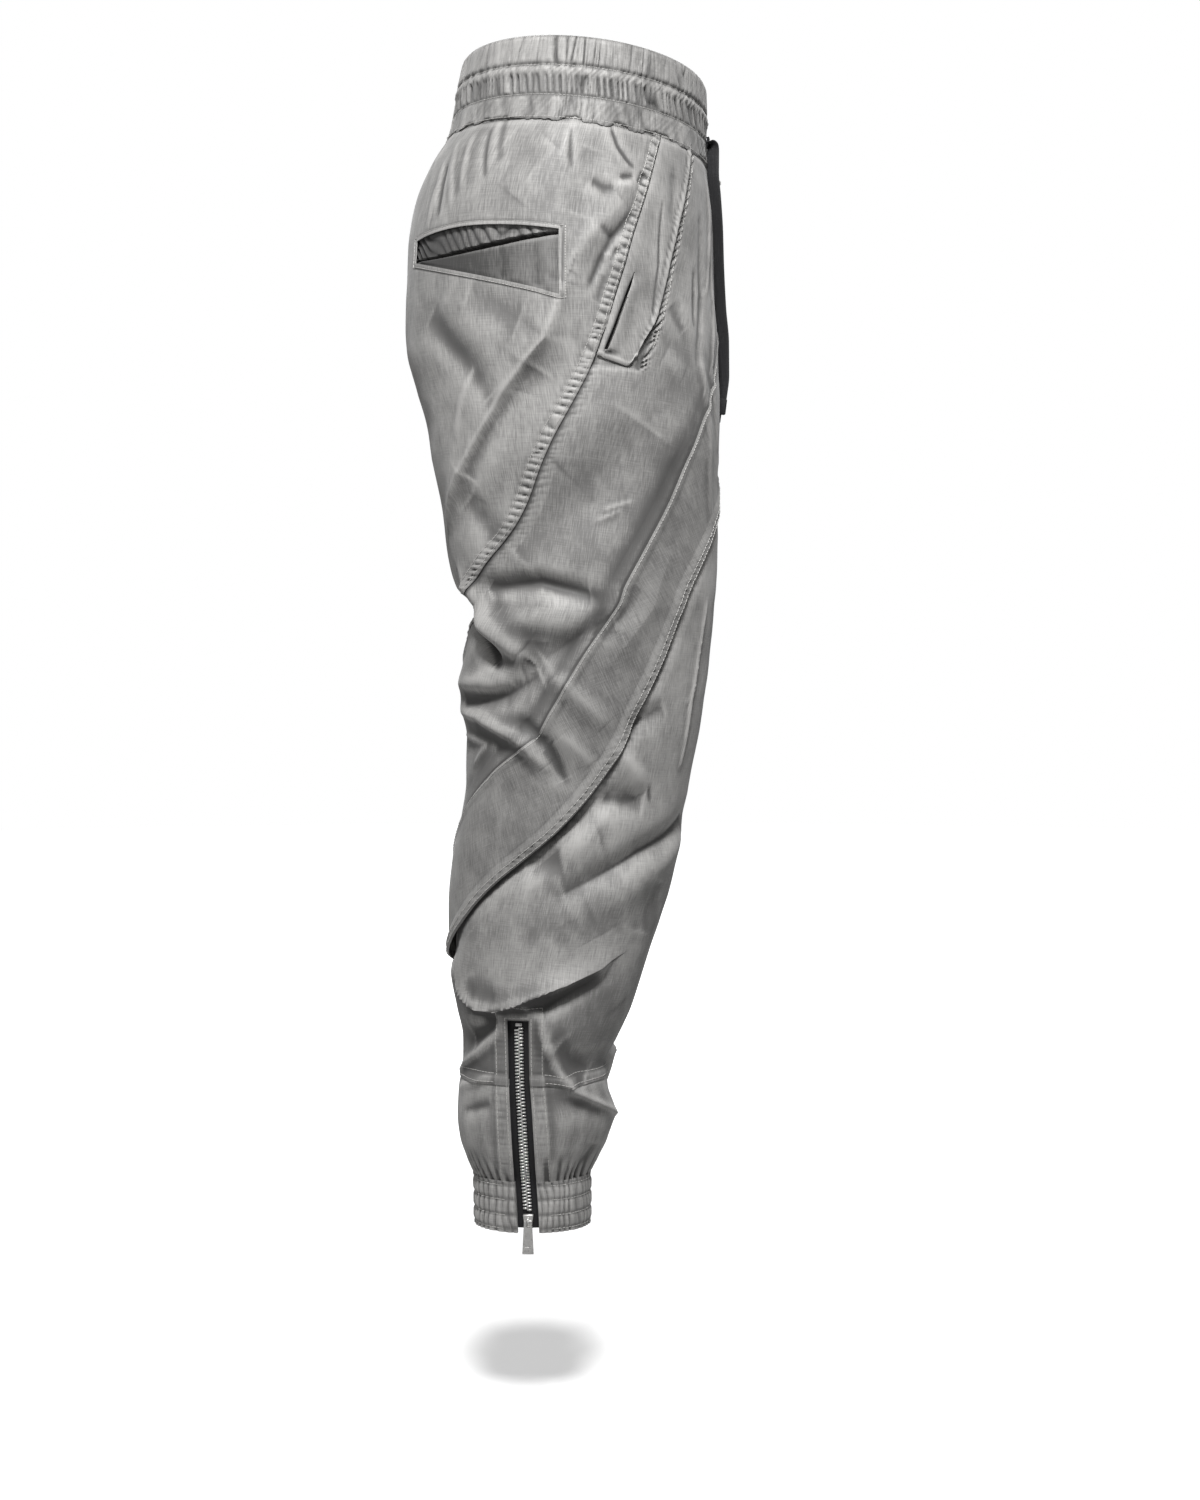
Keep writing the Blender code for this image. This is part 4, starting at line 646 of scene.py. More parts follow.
def mesh_from(name, vertices, faces, material=None, uv=None, wear_and_shade=None):
    """An object of vertices and faces, with a UV map in metres and, for each vertex, a value that pales
    rubbed crests and paints shade into hollows.
    """
    mesh = bpy.data.meshes.new(name)
    faces = faces.tolist() if isinstance(faces, np.ndarray) else faces
    mesh.from_pydata(np.asarray(vertices, float).reshape(-1, 3).tolist(), [], faces)
    if uv is not None:
        layer = mesh.uv_layers.new(name="weave")
        corners = np.zeros(len(mesh.loops), np.int32)
        mesh.loops.foreach_get("vertex_index", corners)
        layer.data.foreach_set("uv", np.asarray(uv, np.float32).reshape(-1, 2)[corners].ravel())
    if wear_and_shade is not None:
        values = mesh.attributes.new("wear_and_shade", "FLOAT", "POINT").data
        values.foreach_set("value", np.ravel(wear_and_shade).astype(np.float32))
    if material:
        mesh.materials.append(material)
    obj = bpy.data.objects.new(name, mesh)
    bpy.context.scene.collection.objects.link(obj)
    return obj


def edit_mesh(obj, change):
    """Runs a change on an object's mesh and returns what the change gives."""
    bm = bmesh.new()
    bm.from_mesh(obj.data)
    result = change(bm)
    bm.to_mesh(obj.data)
    bm.free()
    return result


def face_outwards(bm):
    bmesh.ops.recalc_face_normals(bm, faces=bm.faces)


def finish_smooth(obj, angle=70):
    make_active(obj)
    bpy.ops.object.shade_smooth_by_angle(angle=math.radians(angle))


def apply_modifier(obj, kind, **values):
    make_active(obj)
    modifier = obj.modifiers.new(kind.lower(), kind)
    for name, value in values.items():
        setattr(modifier, name, value)
    bpy.ops.object.modifier_apply(modifier=modifier.name)


def wear_and_shade_of(points, outwards=1):
    """1 where a grid of points stands above its surroundings and down to -2.2 where it lies below them: the
    crests are rubbed paler and the hollows get painted shade.
    """
    blurred = points.copy()
    for _ in range(6):
        padded = np.pad(blurred, ((1, 1), (1, 1), (0, 0)), mode="edge")
        blurred = (padded[2:, 1:-1] + padded[:-2, 1:-1] + padded[1:-1, 2:] + padded[1:-1, :-2]) / 4
    above = ((points - blurred) * grid_normals(points)).sum(-1) * outwards
    wide = np.linalg.norm(np.gradient(points, axis=1), axis=-1) + 1e-9
    return np.clip(above * np.minimum(1, (2.1 * MM / wide) ** 2) / (0.35 * MM), -2.2, 1)


def grid_normals(points):
    down = np.gradient(points, axis=0)
    across = np.gradient(points, axis=1)
    normals = np.cross(down, across)
    return normals / (np.linalg.norm(normals, axis=-1, keepdims=True) + 1e-12)


def grid_faces(rows, columns, missing=None, flip=False):
    i, j = np.meshgrid(np.arange(rows - 1), np.arange(columns - 1), indexing="ij")
    if missing is not None:
        i, j = i[~missing], j[~missing]
    a = (i * columns + j).ravel()
    quads = np.stack((a, a + columns, a + columns + 1, a + 1), 1)
    return quads[:, ::-1] if flip else quads


THINNED_INSIDE = 0.56  # share of a wall's faces that stay when its hidden inner face is thinned


def drop_loose(bm):
    """Deletes corners without a face and gives the area of the cloth."""
    bmesh.ops.delete(bm, geom=[v for v in bm.verts if not v.link_faces], context="VERTS")
    return sum(f.calc_area() for f in bm.faces)


def cloth_sheet(name, side, points, uv, material, wall=None, missing=None, wear_and_shade=None):
    """A thin shell over a grid of points whose rows go down and whose columns go forwards."""
    if wear_and_shade is None:
        wear_and_shade = wear_and_shade_of(points, -SIDES[side])
    rows, columns = points.shape[:2]
    faces = grid_faces(rows, columns, missing, flip=side == "left")
    obj = mesh_from(name, points, faces, material, uv, wear_and_shade)
    area = edit_mesh(obj, drop_loose)
    obj.vertex_groups.new(name="inside")
    apply_modifier(obj, "SOLIDIFY", thickness=wall or cloth().wall, offset=-1.0, use_rim=True,
                   shell_vertex_group="inside")
    apply_modifier(obj, "DECIMATE", ratio=THINNED_INSIDE, vertex_group="inside", vertex_group_factor=20)
    obj.vertex_groups.clear()
    finish_smooth(obj)
    obj["cloth_area"] = area
    return obj


def weave_map(angle, z, grain=0.0):
    """Flat places on the cloth in metres, turned by the grain's angle in degrees."""
    along = np.radians(angle) * 0.085
    c, s = math.cos(math.radians(grain)), math.sin(math.radians(grain))
    return np.stack((c * along + s * z, c * z - s * along), -1)


def fill_holes(bm):
    bmesh.ops.holes_fill(bm, edges=[e for e in bm.edges if e.is_boundary])


def turn_outwards(bm):
    """Turns a body that is inside out and gives half the area of its faces, which is that of its cloth."""
    if bm.calc_volume(signed=True) < 0:
        bmesh.ops.reverse_faces(bm, faces=bm.faces)
    return sum(f.calc_area() for f in bm.faces) / 2


def closed_ring(name, lines, material, around, uv=None, wear_and_shade=None):
    """A closed body whose lines of points follow one another round its cross-section."""
    points = np.stack(lines)
    rows, columns = points.shape[:2]
    i, j = np.meshgrid(np.arange(rows), np.arange(columns if around else columns - 1), indexing="ij")
    k, below = (j + 1) % columns, (i + 1) % rows
    quads = np.stack((i * columns + j, below * columns + j, below * columns + k, i * columns + k), -1)
    obj = mesh_from(name, points, quads.reshape(-1, 4), material, uv, wear_and_shade)
    if not around:
        edit_mesh(obj, fill_holes)
    obj["cloth_area"] = edit_mesh(obj, turn_outwards)
    finish_smooth(obj)
    return obj


# ---------------------------------------------------------------- materials
def make_group(name, inputs, outputs):
    """An empty node group with float or colour sockets, and its input and output nodes."""
    group = bpy.data.node_groups.new(name, "ShaderNodeTree")
    for direction, sockets in (("INPUT", inputs), ("OUTPUT", outputs)):
        for label, kind in sockets:
            group.interface.new_socket(label, in_out=direction, socket_type=f"NodeSocket{kind}")
    return group, group.nodes.new("NodeGroupInput"), group.nodes.new("NodeGroupOutput")


def add_node(tree, kind, inputs=None, **settings):
    """A node with its settings made and its sockets set or linked."""
    made = tree.nodes.new(kind)
    for name, value in settings.items():
        setattr(made, name, value)
    for socket, value in (inputs or {}).items():
        if isinstance(value, bpy.types.NodeSocket):
            tree.links.new(value, made.inputs[socket])
        else:
            made.inputs[socket].default_value = value
    return made


def maths(tree, operation, a, b=0.0, c=0.0):
    return add_node(tree, "ShaderNodeMath", {0: a, 1: b, 2: c}, operation=operation).outputs[0]


def stretched_noise(tree, at, scale, detail=2.0, seed=0.0):
    """Noise whose blobs are scaled differently along each axis. Scale is blobs per metre."""
    sockets = {"Vector": at, "Scale": scale, "Location": (seed, 2 * seed, 0)}
    mapped = add_node(tree, "ShaderNodeMapping", sockets)
    made = add_node(tree, "ShaderNodeTexNoise", {"Vector": mapped.outputs[0], "Scale": 1.0, "Detail": detail})
    return made.outputs["Fac"]


def weave_group():
    """Woven yarn: slubs along warp and weft, a mottled dye, pale rubbed crests, painted shade in hollows and
    the threads' height.
    """
    name = "Woven slub"
    if name in bpy.data.node_groups:
        return bpy.data.node_groups[name]
    inputs = (("Map", "Vector"), ("Worn", "Float"), ("Light", "Color"), ("Dark", "Color"), ("Slub", "Float"),
              ("Mottle", "Float"), ("Wear_and_shade_tone", "Float"), ("Crease shade", "Float"))
    outputs = (("Color", "Color"), ("Roughness", "Float"), ("Height", "Float"))
    tree, start, end = make_group(name, inputs, outputs)
    at = start.outputs["Map"]
    warp = stretched_noise(tree, at, (1500, 90, 1))
    long_warp = stretched_noise(tree, at, (900, 16, 1), seed=3.1)
    weft = stretched_noise(tree, at, (80, 1300, 1), seed=7.7)
    cloud = stretched_noise(tree, at, (17, 11, 1), detail=4.0, seed=1.3)
    patch = stretched_noise(tree, at, (52, 34, 1), detail=3.0, seed=9.2)
    long_warp = maths(tree, "MULTIPLY", long_warp, 0.18)
    streaks = maths(tree, "ADD", maths(tree, "MULTIPLY", warp, 0.55), long_warp)
    streaks = maths(tree, "MULTIPLY_ADD", weft, 0.27, streaks)
    streaks = maths(tree, "SUBTRACT", streaks, 0.5)
    blots = maths(tree, "MULTIPLY_ADD", patch, 0.45, maths(tree, "MULTIPLY", cloud, 0.55))
    blots = maths(tree, "SUBTRACT", blots, 0.5)
    tone = maths(tree, "MULTIPLY_ADD", blots, start.outputs["Mottle"], 0.5)
    tone = maths(tree, "MULTIPLY_ADD", streaks, start.outputs["Slub"], tone)
    # Pale on rubbed crests and darker in hollows, where the darkening is painted shade.
    tone = maths(tree, "MULTIPLY_ADD", start.outputs["Worn"], start.outputs["Wear_and_shade_tone"], tone)
    tone = add_node(tree, "ShaderNodeClamp", {0: tone}).outputs[0]
    colour = add_node(tree, "ShaderNodeMix", {0: tone, 6: start.outputs["Dark"], 7: start.outputs["Light"]},
                      data_type="RGBA").outputs[2]
    # Painted shade: the colour is darkened further where the cloth lies in a hollow or crease.
    painted_hollow_shade = maths(tree, "MULTIPLY_ADD", start.outputs["Worn"], -0.5, -0.1)
    painted_hollow_shade = add_node(tree, "ShaderNodeClamp", {0: painted_hollow_shade}).outputs[0]
    kept = maths(tree, "SUBTRACT", 1.0, maths(tree, "MULTIPLY", painted_hollow_shade, start.outputs["Crease shade"]))
    shaded = add_node(tree, "ShaderNodeVectorMath", {0: colour, "Scale": kept}, operation="SCALE")
    tree.links.new(shaded.outputs[0], end.inputs["Color"])
    rough = maths(tree, "MULTIPLY_ADD", streaks, -0.3, 0.58)
    tree.links.new(rough, end.inputs["Roughness"])
    sockets = {"Vector": at, "Scale": 260.0, "Distortion": 0.6, "Detail": 1.0}
    threads = add_node(tree, "ShaderNodeTexWave", sockets, bands_direction="X")
    height = maths(tree, "MULTIPLY_ADD", threads.outputs["Fac"], 0.25, maths(tree, "MULTIPLY", streaks, 1.6))
    tree.links.new(height, end.inputs["Height"])
    return tree


def principled(name, **values):
    """A new material and its shader, with plain socket values."""
    made = bpy.data.materials.new(name)
    made.use_nodes = True
    shader = made.node_tree.nodes["Principled BSDF"]
    for socket, value in values.items():
        shader.inputs[socket.replace("_", " ")].default_value = value
    return made, made.node_tree, shader


THREAD_HEIGHT = 0.0006


def toned(base, share):
    return tuple(share * c for c in base)


def woven(name, light, dark, slub=3.0, mottle=2.5, wear_and_shade_tone=0.4, shade=0.56, sheen=0.2, bump=0.25):
    """Woven cloth that reads the piece's own map, and its value that pales rubbed crests and paints shade
    into hollows.
    """
    made, tree, shader = principled(name, Sheen_Weight=sheen, Sheen_Roughness=0.45)
    shader.inputs["Specular IOR Level"].default_value = 0.4
    map_node = add_node(tree, "ShaderNodeUVMap", uv_map="weave")
    wear_and_shade = add_node(tree, "ShaderNodeAttribute", attribute_name="wear_and_shade", attribute_type="GEOMETRY")
    group = add_node(tree, "ShaderNodeGroup", node_tree=weave_group())
    values = {"Light": (*light, 1), "Dark": (*dark, 1), "Slub": slub, "Mottle": mottle, "Wear_and_shade_tone": wear_and_shade_tone,
              "Crease shade": shade}
    for socket, value in values.items():
        group.inputs[socket].default_value = value
    tree.links.new(map_node.outputs[0], group.inputs["Map"])
    tree.links.new(wear_and_shade.outputs["Fac"], group.inputs["Worn"])
    tree.links.new(group.outputs["Color"], shader.inputs["Base Color"])
    tree.links.new(group.outputs["Roughness"], shader.inputs["Roughness"])
    sockets = {"Height": group.outputs["Height"], "Strength": bump, "Distance": THREAD_HEIGHT}
    raised = add_node(tree, "ShaderNodeBump", sockets)
    tree.links.new(raised.outputs[0], shader.inputs["Normal"])
    return made


def speckled(name, base, roughness, metallic=1.0, deep=0.72, size=2.4 * MM):
    """Metal, thread or paint that is a little duller and darker in blotches of that size."""
    made, tree, shader = principled(name, Metallic=metallic)
    place = add_node(tree, "ShaderNodeTexCoord").outputs["Object"]
    sockets = {"Vector": place, "Scale": 1 / size, "Detail": 3.0}
    haze = add_node(tree, "ShaderNodeTexNoise", sockets).outputs["Fac"]
    ramp = add_node(tree, "ShaderNodeValToRGB", {"Fac": haze})
    low, high = ramp.color_ramp.elements
    low.position, high.position = 0.3, 0.7
    low.color, high.color = (*toned(base, deep), 1), (*base, 1)
    tree.links.new(ramp.outputs[0], shader.inputs["Base Color"])
    tree.links.new(maths(tree, "MULTIPLY_ADD", haze, 0.25, roughness - 0.12), shader.inputs["Roughness"])
    return made


def finish_named(name):
    """The garment's finishes, each made when it is first asked for."""
    if name in bpy.data.materials:
        return bpy.data.materials[name]
    light, dark, black = (tuple(shade) for shade in (cloth().light, cloth().dark, trim().black))
    ribbed = {"wear_and_shade_tone": 0.1, "shade": 0.2, "sheen": 0.1}
    makers = {
        "trousers cloth": lambda: woven(name, light, dark),
        # A darker copy of the cloth for the sweep panels: painted shade for the duller sheen of their turned
        # grain.
        "shaded sweep panel cloth": lambda: woven(name, toned(light, 0.7), toned(dark, 0.66)),
        # A darker copy of the cloth for the back pocket's lip: painted shade, as the lip lies in shade under
        # the mouth.
        "shaded lip cloth": lambda: woven(name, toned(light, 0.46), toned(dark, 0.36), 3.0, 1.2, 0.6, 0.5),
        "facing cloth": lambda: woven(name, toned(light, 0.8), toned(dark, 0.6), wear_and_shade_tone=0.5, shade=0.75),
        "sewing thread": lambda: speckled(name, tuple(sewing().thread_colour), 0.75, metallic=0.0),
        "black tape": lambda: woven(name, toned(black, 2.2), black, 1.5, 0.6, bump=0.4, **ribbed),
        "black webbing": lambda: woven(name, toned(black, 2.6), black, 2.0, 0.4, bump=0.6, **ribbed),
        "black cord": lambda: speckled(name, toned(black, 2), 0.8, metallic=0.0, size=1 * MM),
        "nickel": lambda: speckled(name, tuple(trim().metal), 0.3, metallic=0.82, deep=0.8),
        "dark nickel": lambda: speckled(name, (0.12, 0.12, 0.125), 0.36),
    }
    return makers[name]()


def declare_cloth(obj, kind, node, slot, held="draped", rests_on=("waistband",)):
    """Attaches a piece of cloth to the garment's body and hides the node that it stands for; the cut it is
    given is not used.
    """
    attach(obj, "garment")
    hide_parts(node)


# ---------------------------------------------------------------- charts of the panels
# Where a panel's columns lie near its edges, in millimetres into the panel.
OVER_STEPS = (0, 0.5, 1.2, 2.2, 3.4, 4.8, 6.3, 7.9, 9.7, 11.8)
UNDER_STEPS = (-6, -3.2, -1.0, 0.8, 2.6, 4.8, 7.4, 10.4)
PLAIN_STEPS = (0, 0.8, 1.8, 3.2)
PLACKET_STEPS = (0, 0.5, 1.2, 2.3, 3.8, 5.6, 7.6, 9.6, 11.0, 12.4, 14.5)
UNDER_BAND = -36 * MM


def cell(side):
    return cloth().near_cell if side == "right" else cloth().far_cell


def panel_edges(kind, z):
    """The angles of a panel's back and front edge at each height."""
    edge = middle_angle(z)
    lines = [-edge]
    for sewn in (HIP, SWEEP, LAPPED):
        line = np.where(z > sewn.foot, np.clip(sewn.angle_at(z), -edge, edge), -edge)
        lines.append(line if sewn is HIP else np.where(z > sewn.top, edge, line))
    lines.append(edge)
    first = ("hip", "side", "sweep", "leg").index(kind)
    return lines[first], lines[first + 1]


def row_heights(kind, step, fixed=()):
    """Heights of a panel's rows from its top to its tip, with the fixed ones among them."""
    z = np.arange(UNDER_BAND, ANKLE_SEAM, -step)
    back, front = panel_edges(kind, z)
    wide = np.radians(front - back) * radius_at(z) > 1.2 * MM
    first = np.argmax(wide)
    rest = wide[first:]
    last = first + (len(rest) if rest.all() else np.argmin(rest))
    z = z[first:last]
    for height in fixed:
        z[np.argmin(abs(z - height))] = height
    return z


def steps_beside(steps, sewn, z):
    """Offsets of the columns near an edge, longer where the seam is steep, as an array of rows."""
    offsets = np.array(steps) * MM * np.ones((len(z), 1))
    if sewn is None:
        return offsets
    offsets *= sewn.steep_at(z)[:, None]
    there = sewn.place(0.0, z)[2][:, None]
    return np.where(offsets < 0, offsets * there, offsets)


def column_angles(z, back, front, near, far, cells):
    """Angles of all columns: near offsets from the back edge, far ones from the front, even cells between."""
    radius = radius_at(z)[:, None]
    width = np.radians(front - back)[:, None] * radius
    squeeze = np.minimum(1, 0.8 * width / (near[:, -1:] + far[:, -1:]))
    near, far = np.where(near > 0, near * squeeze, near), np.where(far > 0, far * squeeze, far)
    shares = np.linspace(0, 1, cells + 1)[1:-1]
    start, end = near[:, -1:], width - far[:, -1:]
    offsets = np.concatenate((near, start + (end - start) * shares, width - far[:, ::-1]), 1)
    return back[:, None] + np.degrees(offsets / radius)


EDGE_STEPS = {
    "hip": ((PLAIN_STEPS, None), (OVER_STEPS, HIP)),
    "side": ((UNDER_STEPS, HIP), (UNDER_STEPS, SWEEP)),
    "sweep": ((OVER_STEPS, SWEEP), (OVER_STEPS, LAPPED)),
    "leg": ((UNDER_STEPS, LAPPED), (PLAIN_STEPS, None)),
}


def panel_chart(kind, side, step, fixed=()):
    """Angles and heights of a panel's grid."""
    z = row_heights(kind, step, fixed)
    back, front = panel_edges(kind, z)
    (near_steps, near_seam), (far_steps, far_seam) = EDGE_STEPS[kind]
    near, far = steps_beside(near_steps, near_seam, z), steps_beside(far_steps, far_seam, z)
    widest = (np.radians(front - back) * radius_at(z)).max()
    angles = column_angles(z, back, front, near, far, max(4, int(widest / cell(side))))
    return angles, np.broadcast_to(z[:, None], angles.shape).copy()


GRAIN = {"hip": 0, "patch": 4, "side": -9, "sweep": 24, "leg": -3, "ankle": 0}


def dress_panel(side, kind, node_kind, chart, lift=None, missing=None, **declared):
    """A panel of plain cloth over its angles and heights, its top tucked in unless a lift is given."""
    angles, z = chart
    points = cloth_point(side, kind, angles, z, band_sink(z) if lift is None else lift)
    # The panel is darkened by seam_shade: painted shade by the seams and darker tones.
    wear_and_shade = wear_and_shade_of(points, -SIDES[side]) - seam_shade(kind, angles, z)
    # The sweep panel takes the darker copy: painted shade for its turned grain's duller sheen.
    finish = finish_named("shaded sweep panel cloth" if kind == "sweep" else "trousers cloth")
    obj = cloth_sheet(f"{side}_{node_kind}_cloth", side, points, weave_map(angles, z, GRAIN[kind]), finish,
                      missing=missing, wear_and_shade=wear_and_shade)
    declare_cloth(obj, node_kind, f"{side}_{node_kind}", "cloth", **declared)


def band_sink(z):
    """The panels' tops are tucked under the waistband."""
    return -1.4 * MM * smoothstep((z - BAND_FOOT + 5 * MM) / (6 * MM))


class Worker(bpy.types.Operator):
    """What the garment's operators share."""

    bl_options = {"REGISTER", "UNDO"}

    def execute(self, _context):
        deselect()
        for side in SIDES:
            self.make(side)
        return {"FINISHED"}


# ---------------------------------------------------------------- back panel and its pocket
WINDOW_TOP, WINDOW_FOOT = -134 * MM, -184 * MM
WINDOW_ANGLES = (-64.0, 0.3)
WINDOW_RISE = 31 * MM  # the window's foot climbs this much towards the back


def window_rise(angle, base_z):
    """How far a row is lifted so that it follows the window's slanted foot."""
    low, high = WINDOW_ANGLES
    towards_back = np.clip((high - angle) / (high - low), 0, 1)
    below = smoothstep((base_z + 262 * MM) / (78 * MM))
    inside = np.clip((WINDOW_TOP - base_z) / (WINDOW_TOP - WINDOW_FOOT), 0, 1)
    arch = 3.5 * MM * np.sin(np.pi * towards_back) - 2 * MM * towards_back
    near_top = hump((base_z - WINDOW_TOP) / (20 * MM))
    rise = WINDOW_RISE * towards_back * np.where(base_z > WINDOW_FOOT, inside, below)
    return rise + arch * near_top * (1 - inside)


def outside_window(angle, z, base_z):
    """Distance outside the window in metres."""
    low, high = WINDOW_ANGLES
    beside = np.radians(np.maximum(np.maximum(low - angle, angle - high), 0)) * radius_at(z)
    over = np.maximum(np.maximum(base_z - WINDOW_TOP, WINDOW_FOOT - base_z), 0)
    return np.hypot(beside, over)


class TROUSERS_OT_back_panels(Worker):
    """Makes the back panels with the welted window of the pocket"""

    bl_idname = "trousers.back_panels"
    bl_label = "Back panels"

    def make(self, side):
        step = 1.5 * MM if side == "right" else 2.2 * MM
        angles, base_z = panel_chart("hip", side, step, fixed=(WINDOW_TOP, WINDOW_FOOT))
        top_row = angles[np.argmin(abs(base_z[:, 0] - WINDOW_TOP))]
        first, last = (np.argmin(abs(top_row - angle)) for angle in WINDOW_ANGLES)
        height = base_z[:, 0]
        reach = smoothstep((height + 240 * MM) / (40 * MM)) * smoothstep((-96 * MM - height) / (20 * MM))
        column = np.arange(len(top_row))
        for row, share in zip(angles, reach):
            known = (0, first, last, column[-1])
            pinned = (row[0], *WINDOW_ANGLES, row[-1])
            row += (np.interp(column, known, pinned) - np.interp(column, known, row[list(known)])) * share
        z = base_z + window_rise(angles, base_z)
        outside = outside_window(angles, z, base_z) / MM
        near_window = smoothstep((14 - outside) / 4)
        piping = 1.0 * hump((outside - 1.1) / 1.0) - 0.4 * hump((outside - 3.1) / 0.8)
        lift = piping * near_window * MM + band_sink(z)
        rows_in = (base_z[:-1, :-1] <= WINDOW_TOP + 1e-6) & (base_z[:-1, :-1] > WINDOW_FOOT + 1e-6)
        columns_in = (column[:-1] >= first) & (column[:-1] < last)
        dress_panel(side, "hip", "back_panel", (angles, z), lift, rows_in & columns_in[None, :])


def mouth_height(across):
    """The base height of the pocket's mouth at a share across the window, counted from its back edge."""
    return WINDOW_TOP + (WINDOW_FOOT - WINDOW_TOP) * (0.94 - 0.86 * across)


def window_grid(across, base_z):
    """Angles and heights of places in the window, across from its back edge to its front edge."""
    low, high = WINDOW_ANGLES
    angle = low + (high - low) * across
    return angle, base_z + window_rise(angle, base_z)


class TROUSERS_OT_back_pockets(Worker):
    """Makes the gathered facing inside each back pocket's window and the lip below its mouth"""

    bl_idname = "trousers.back_pockets"
    bl_label = "Back pockets"

    def make(self, side):
        self.make_facing(side)
        self.make_lip(side)

    def make_facing(self, side):
        """Rounded gathers that hang from the window's top and turn in behind the mouth."""
        across, down = np.meshgrid(np.linspace(-0.06, 1.06, 230), np.linspace(0, 1, 34))
        top = WINDOW_TOP + 8 * MM
        gap = (1.6 + 1.7 * np.sin(np.pi * np.clip(across, 0, 1))) * smoothstep((1.04 - across) / 0.08)
        base_z = top + (mouth_height(across) - 7 * MM - top) * down
        angles, z = window_grid(across, base_z)
        over_mouth = (base_z - mouth_height(across)) / MM
        phase = 15 * across + 1.1 * wavering(across, 0.13, 3) + 0.05 * (over_mouth - 6)
        gathers = 1.5 * pleat(phase, 0.7) * smoothstep((0.97 - across) / 0.1)
        gathers = gathers * (0.6 + 0.4 * wavering(across, 0.05, 8))
        turned_in = -14.0 * smoothstep((gap + 1.8 - over_mouth) / 2.2)
        lift = (-2.4 + gathers * smoothstep((WINDOW_TOP + 2 * MM - base_z) / (5 * MM)) + turned_in) * MM
        points = cloth_point(side, "plain", angles, z, lift)
        # Darker towards the window's back end, with painted shade in the gathers' valleys and deepest where
        # the facing turns in behind the mouth; gather crests paler.
        wear_and_shade = 2.2 * across - 2.2 + 0.9 * pleat(phase, 0.7) - 1.5 * smoothstep((gap + 1.8 - over_mouth) / 2.2)
        obj = cloth_sheet(f"{side}_pocket_facing", side, points, weave_map(angles, z),
                          finish_named("facing cloth"), wear_and_shade=wear_and_shade)
        declare_cloth(obj, "pocket_facing", f"{side}_back_pocket_bag", "pocket_cloth", held="gathered",
                      rests_on=(f"{side}_back_panel_cloth",))

    def make_lip(self, side):
        """The smooth lower piece, whose upper edge is the mouth."""
        across, down = np.meshgrid(np.linspace(-0.07, 1.07, 70), np.linspace(0, 1, 30))
        foot = WINDOW_FOOT - 8 * MM
        base_z = mouth_height(across) + (foot - mouth_height(across)) * down
        angles, z = window_grid(across, base_z)
        edge = hump(down * (mouth_height(across) - foot) / MM / 0.9)
        folds = 1.5 * pleat(5.2 * across + 0.4, 1.0) * smoothstep((across - 0.5) / 0.3) * (0.4 + 0.6 * down)
        inside = smoothstep((0.5 - np.abs(across - 0.5)) / 0.06)
        inside = inside * smoothstep((base_z - WINDOW_FOOT) / (5 * MM))
        lift = (-2.2 + 0.9 * inside * (1 - down) + folds * inside - 1.2 * edge) * MM
        points = cloth_point(side, "plain", angles, z, lift)
        # Darker towards the window's back end, paler on crests and with painted shade in hollows.
        wear_and_shade = 2.4 * across - 2.2 + 0.8 * wear_and_shade_of(points, -SIDES[side])
        obj = cloth_sheet(f"{side}_pocket_lip", side, points, weave_map(angles, z),
                          finish_named("shaded lip cloth"), wear_and_shade=wear_and_shade)
        declare_cloth(obj, "pocket_lip", f"{side}_back_pocket_lip", "cloth",
                      rests_on=(f"{side}_back_panel_cloth",))


# ---------------------------------------------------------------- side, sweep and front pocket
class TROUSERS_OT_side_panels(Worker):
    """Makes the side panels, which spiral backward down the leg"""

    bl_idname = "trousers.side_panels"
    bl_label = "Side panels"

    def make(self, side):
        step = 1.75 * MM if side == "right" else 3.0 * MM
        dress_panel(side, "side", "side_panel", panel_chart("side", side, step))


class TROUSERS_OT_sweep_panels(Worker):
    """Makes the bands that sweep from the front seam round the knee"""

    bl_idname = "trousers.sweep_panels"
    bl_label = "Sweep panels"

    def make(self, side):
        step = 1.75 * MM if side == "right" else 2.6 * MM
        dress_panel(side, "sweep", "sweep_panel", panel_chart("sweep", side, step))


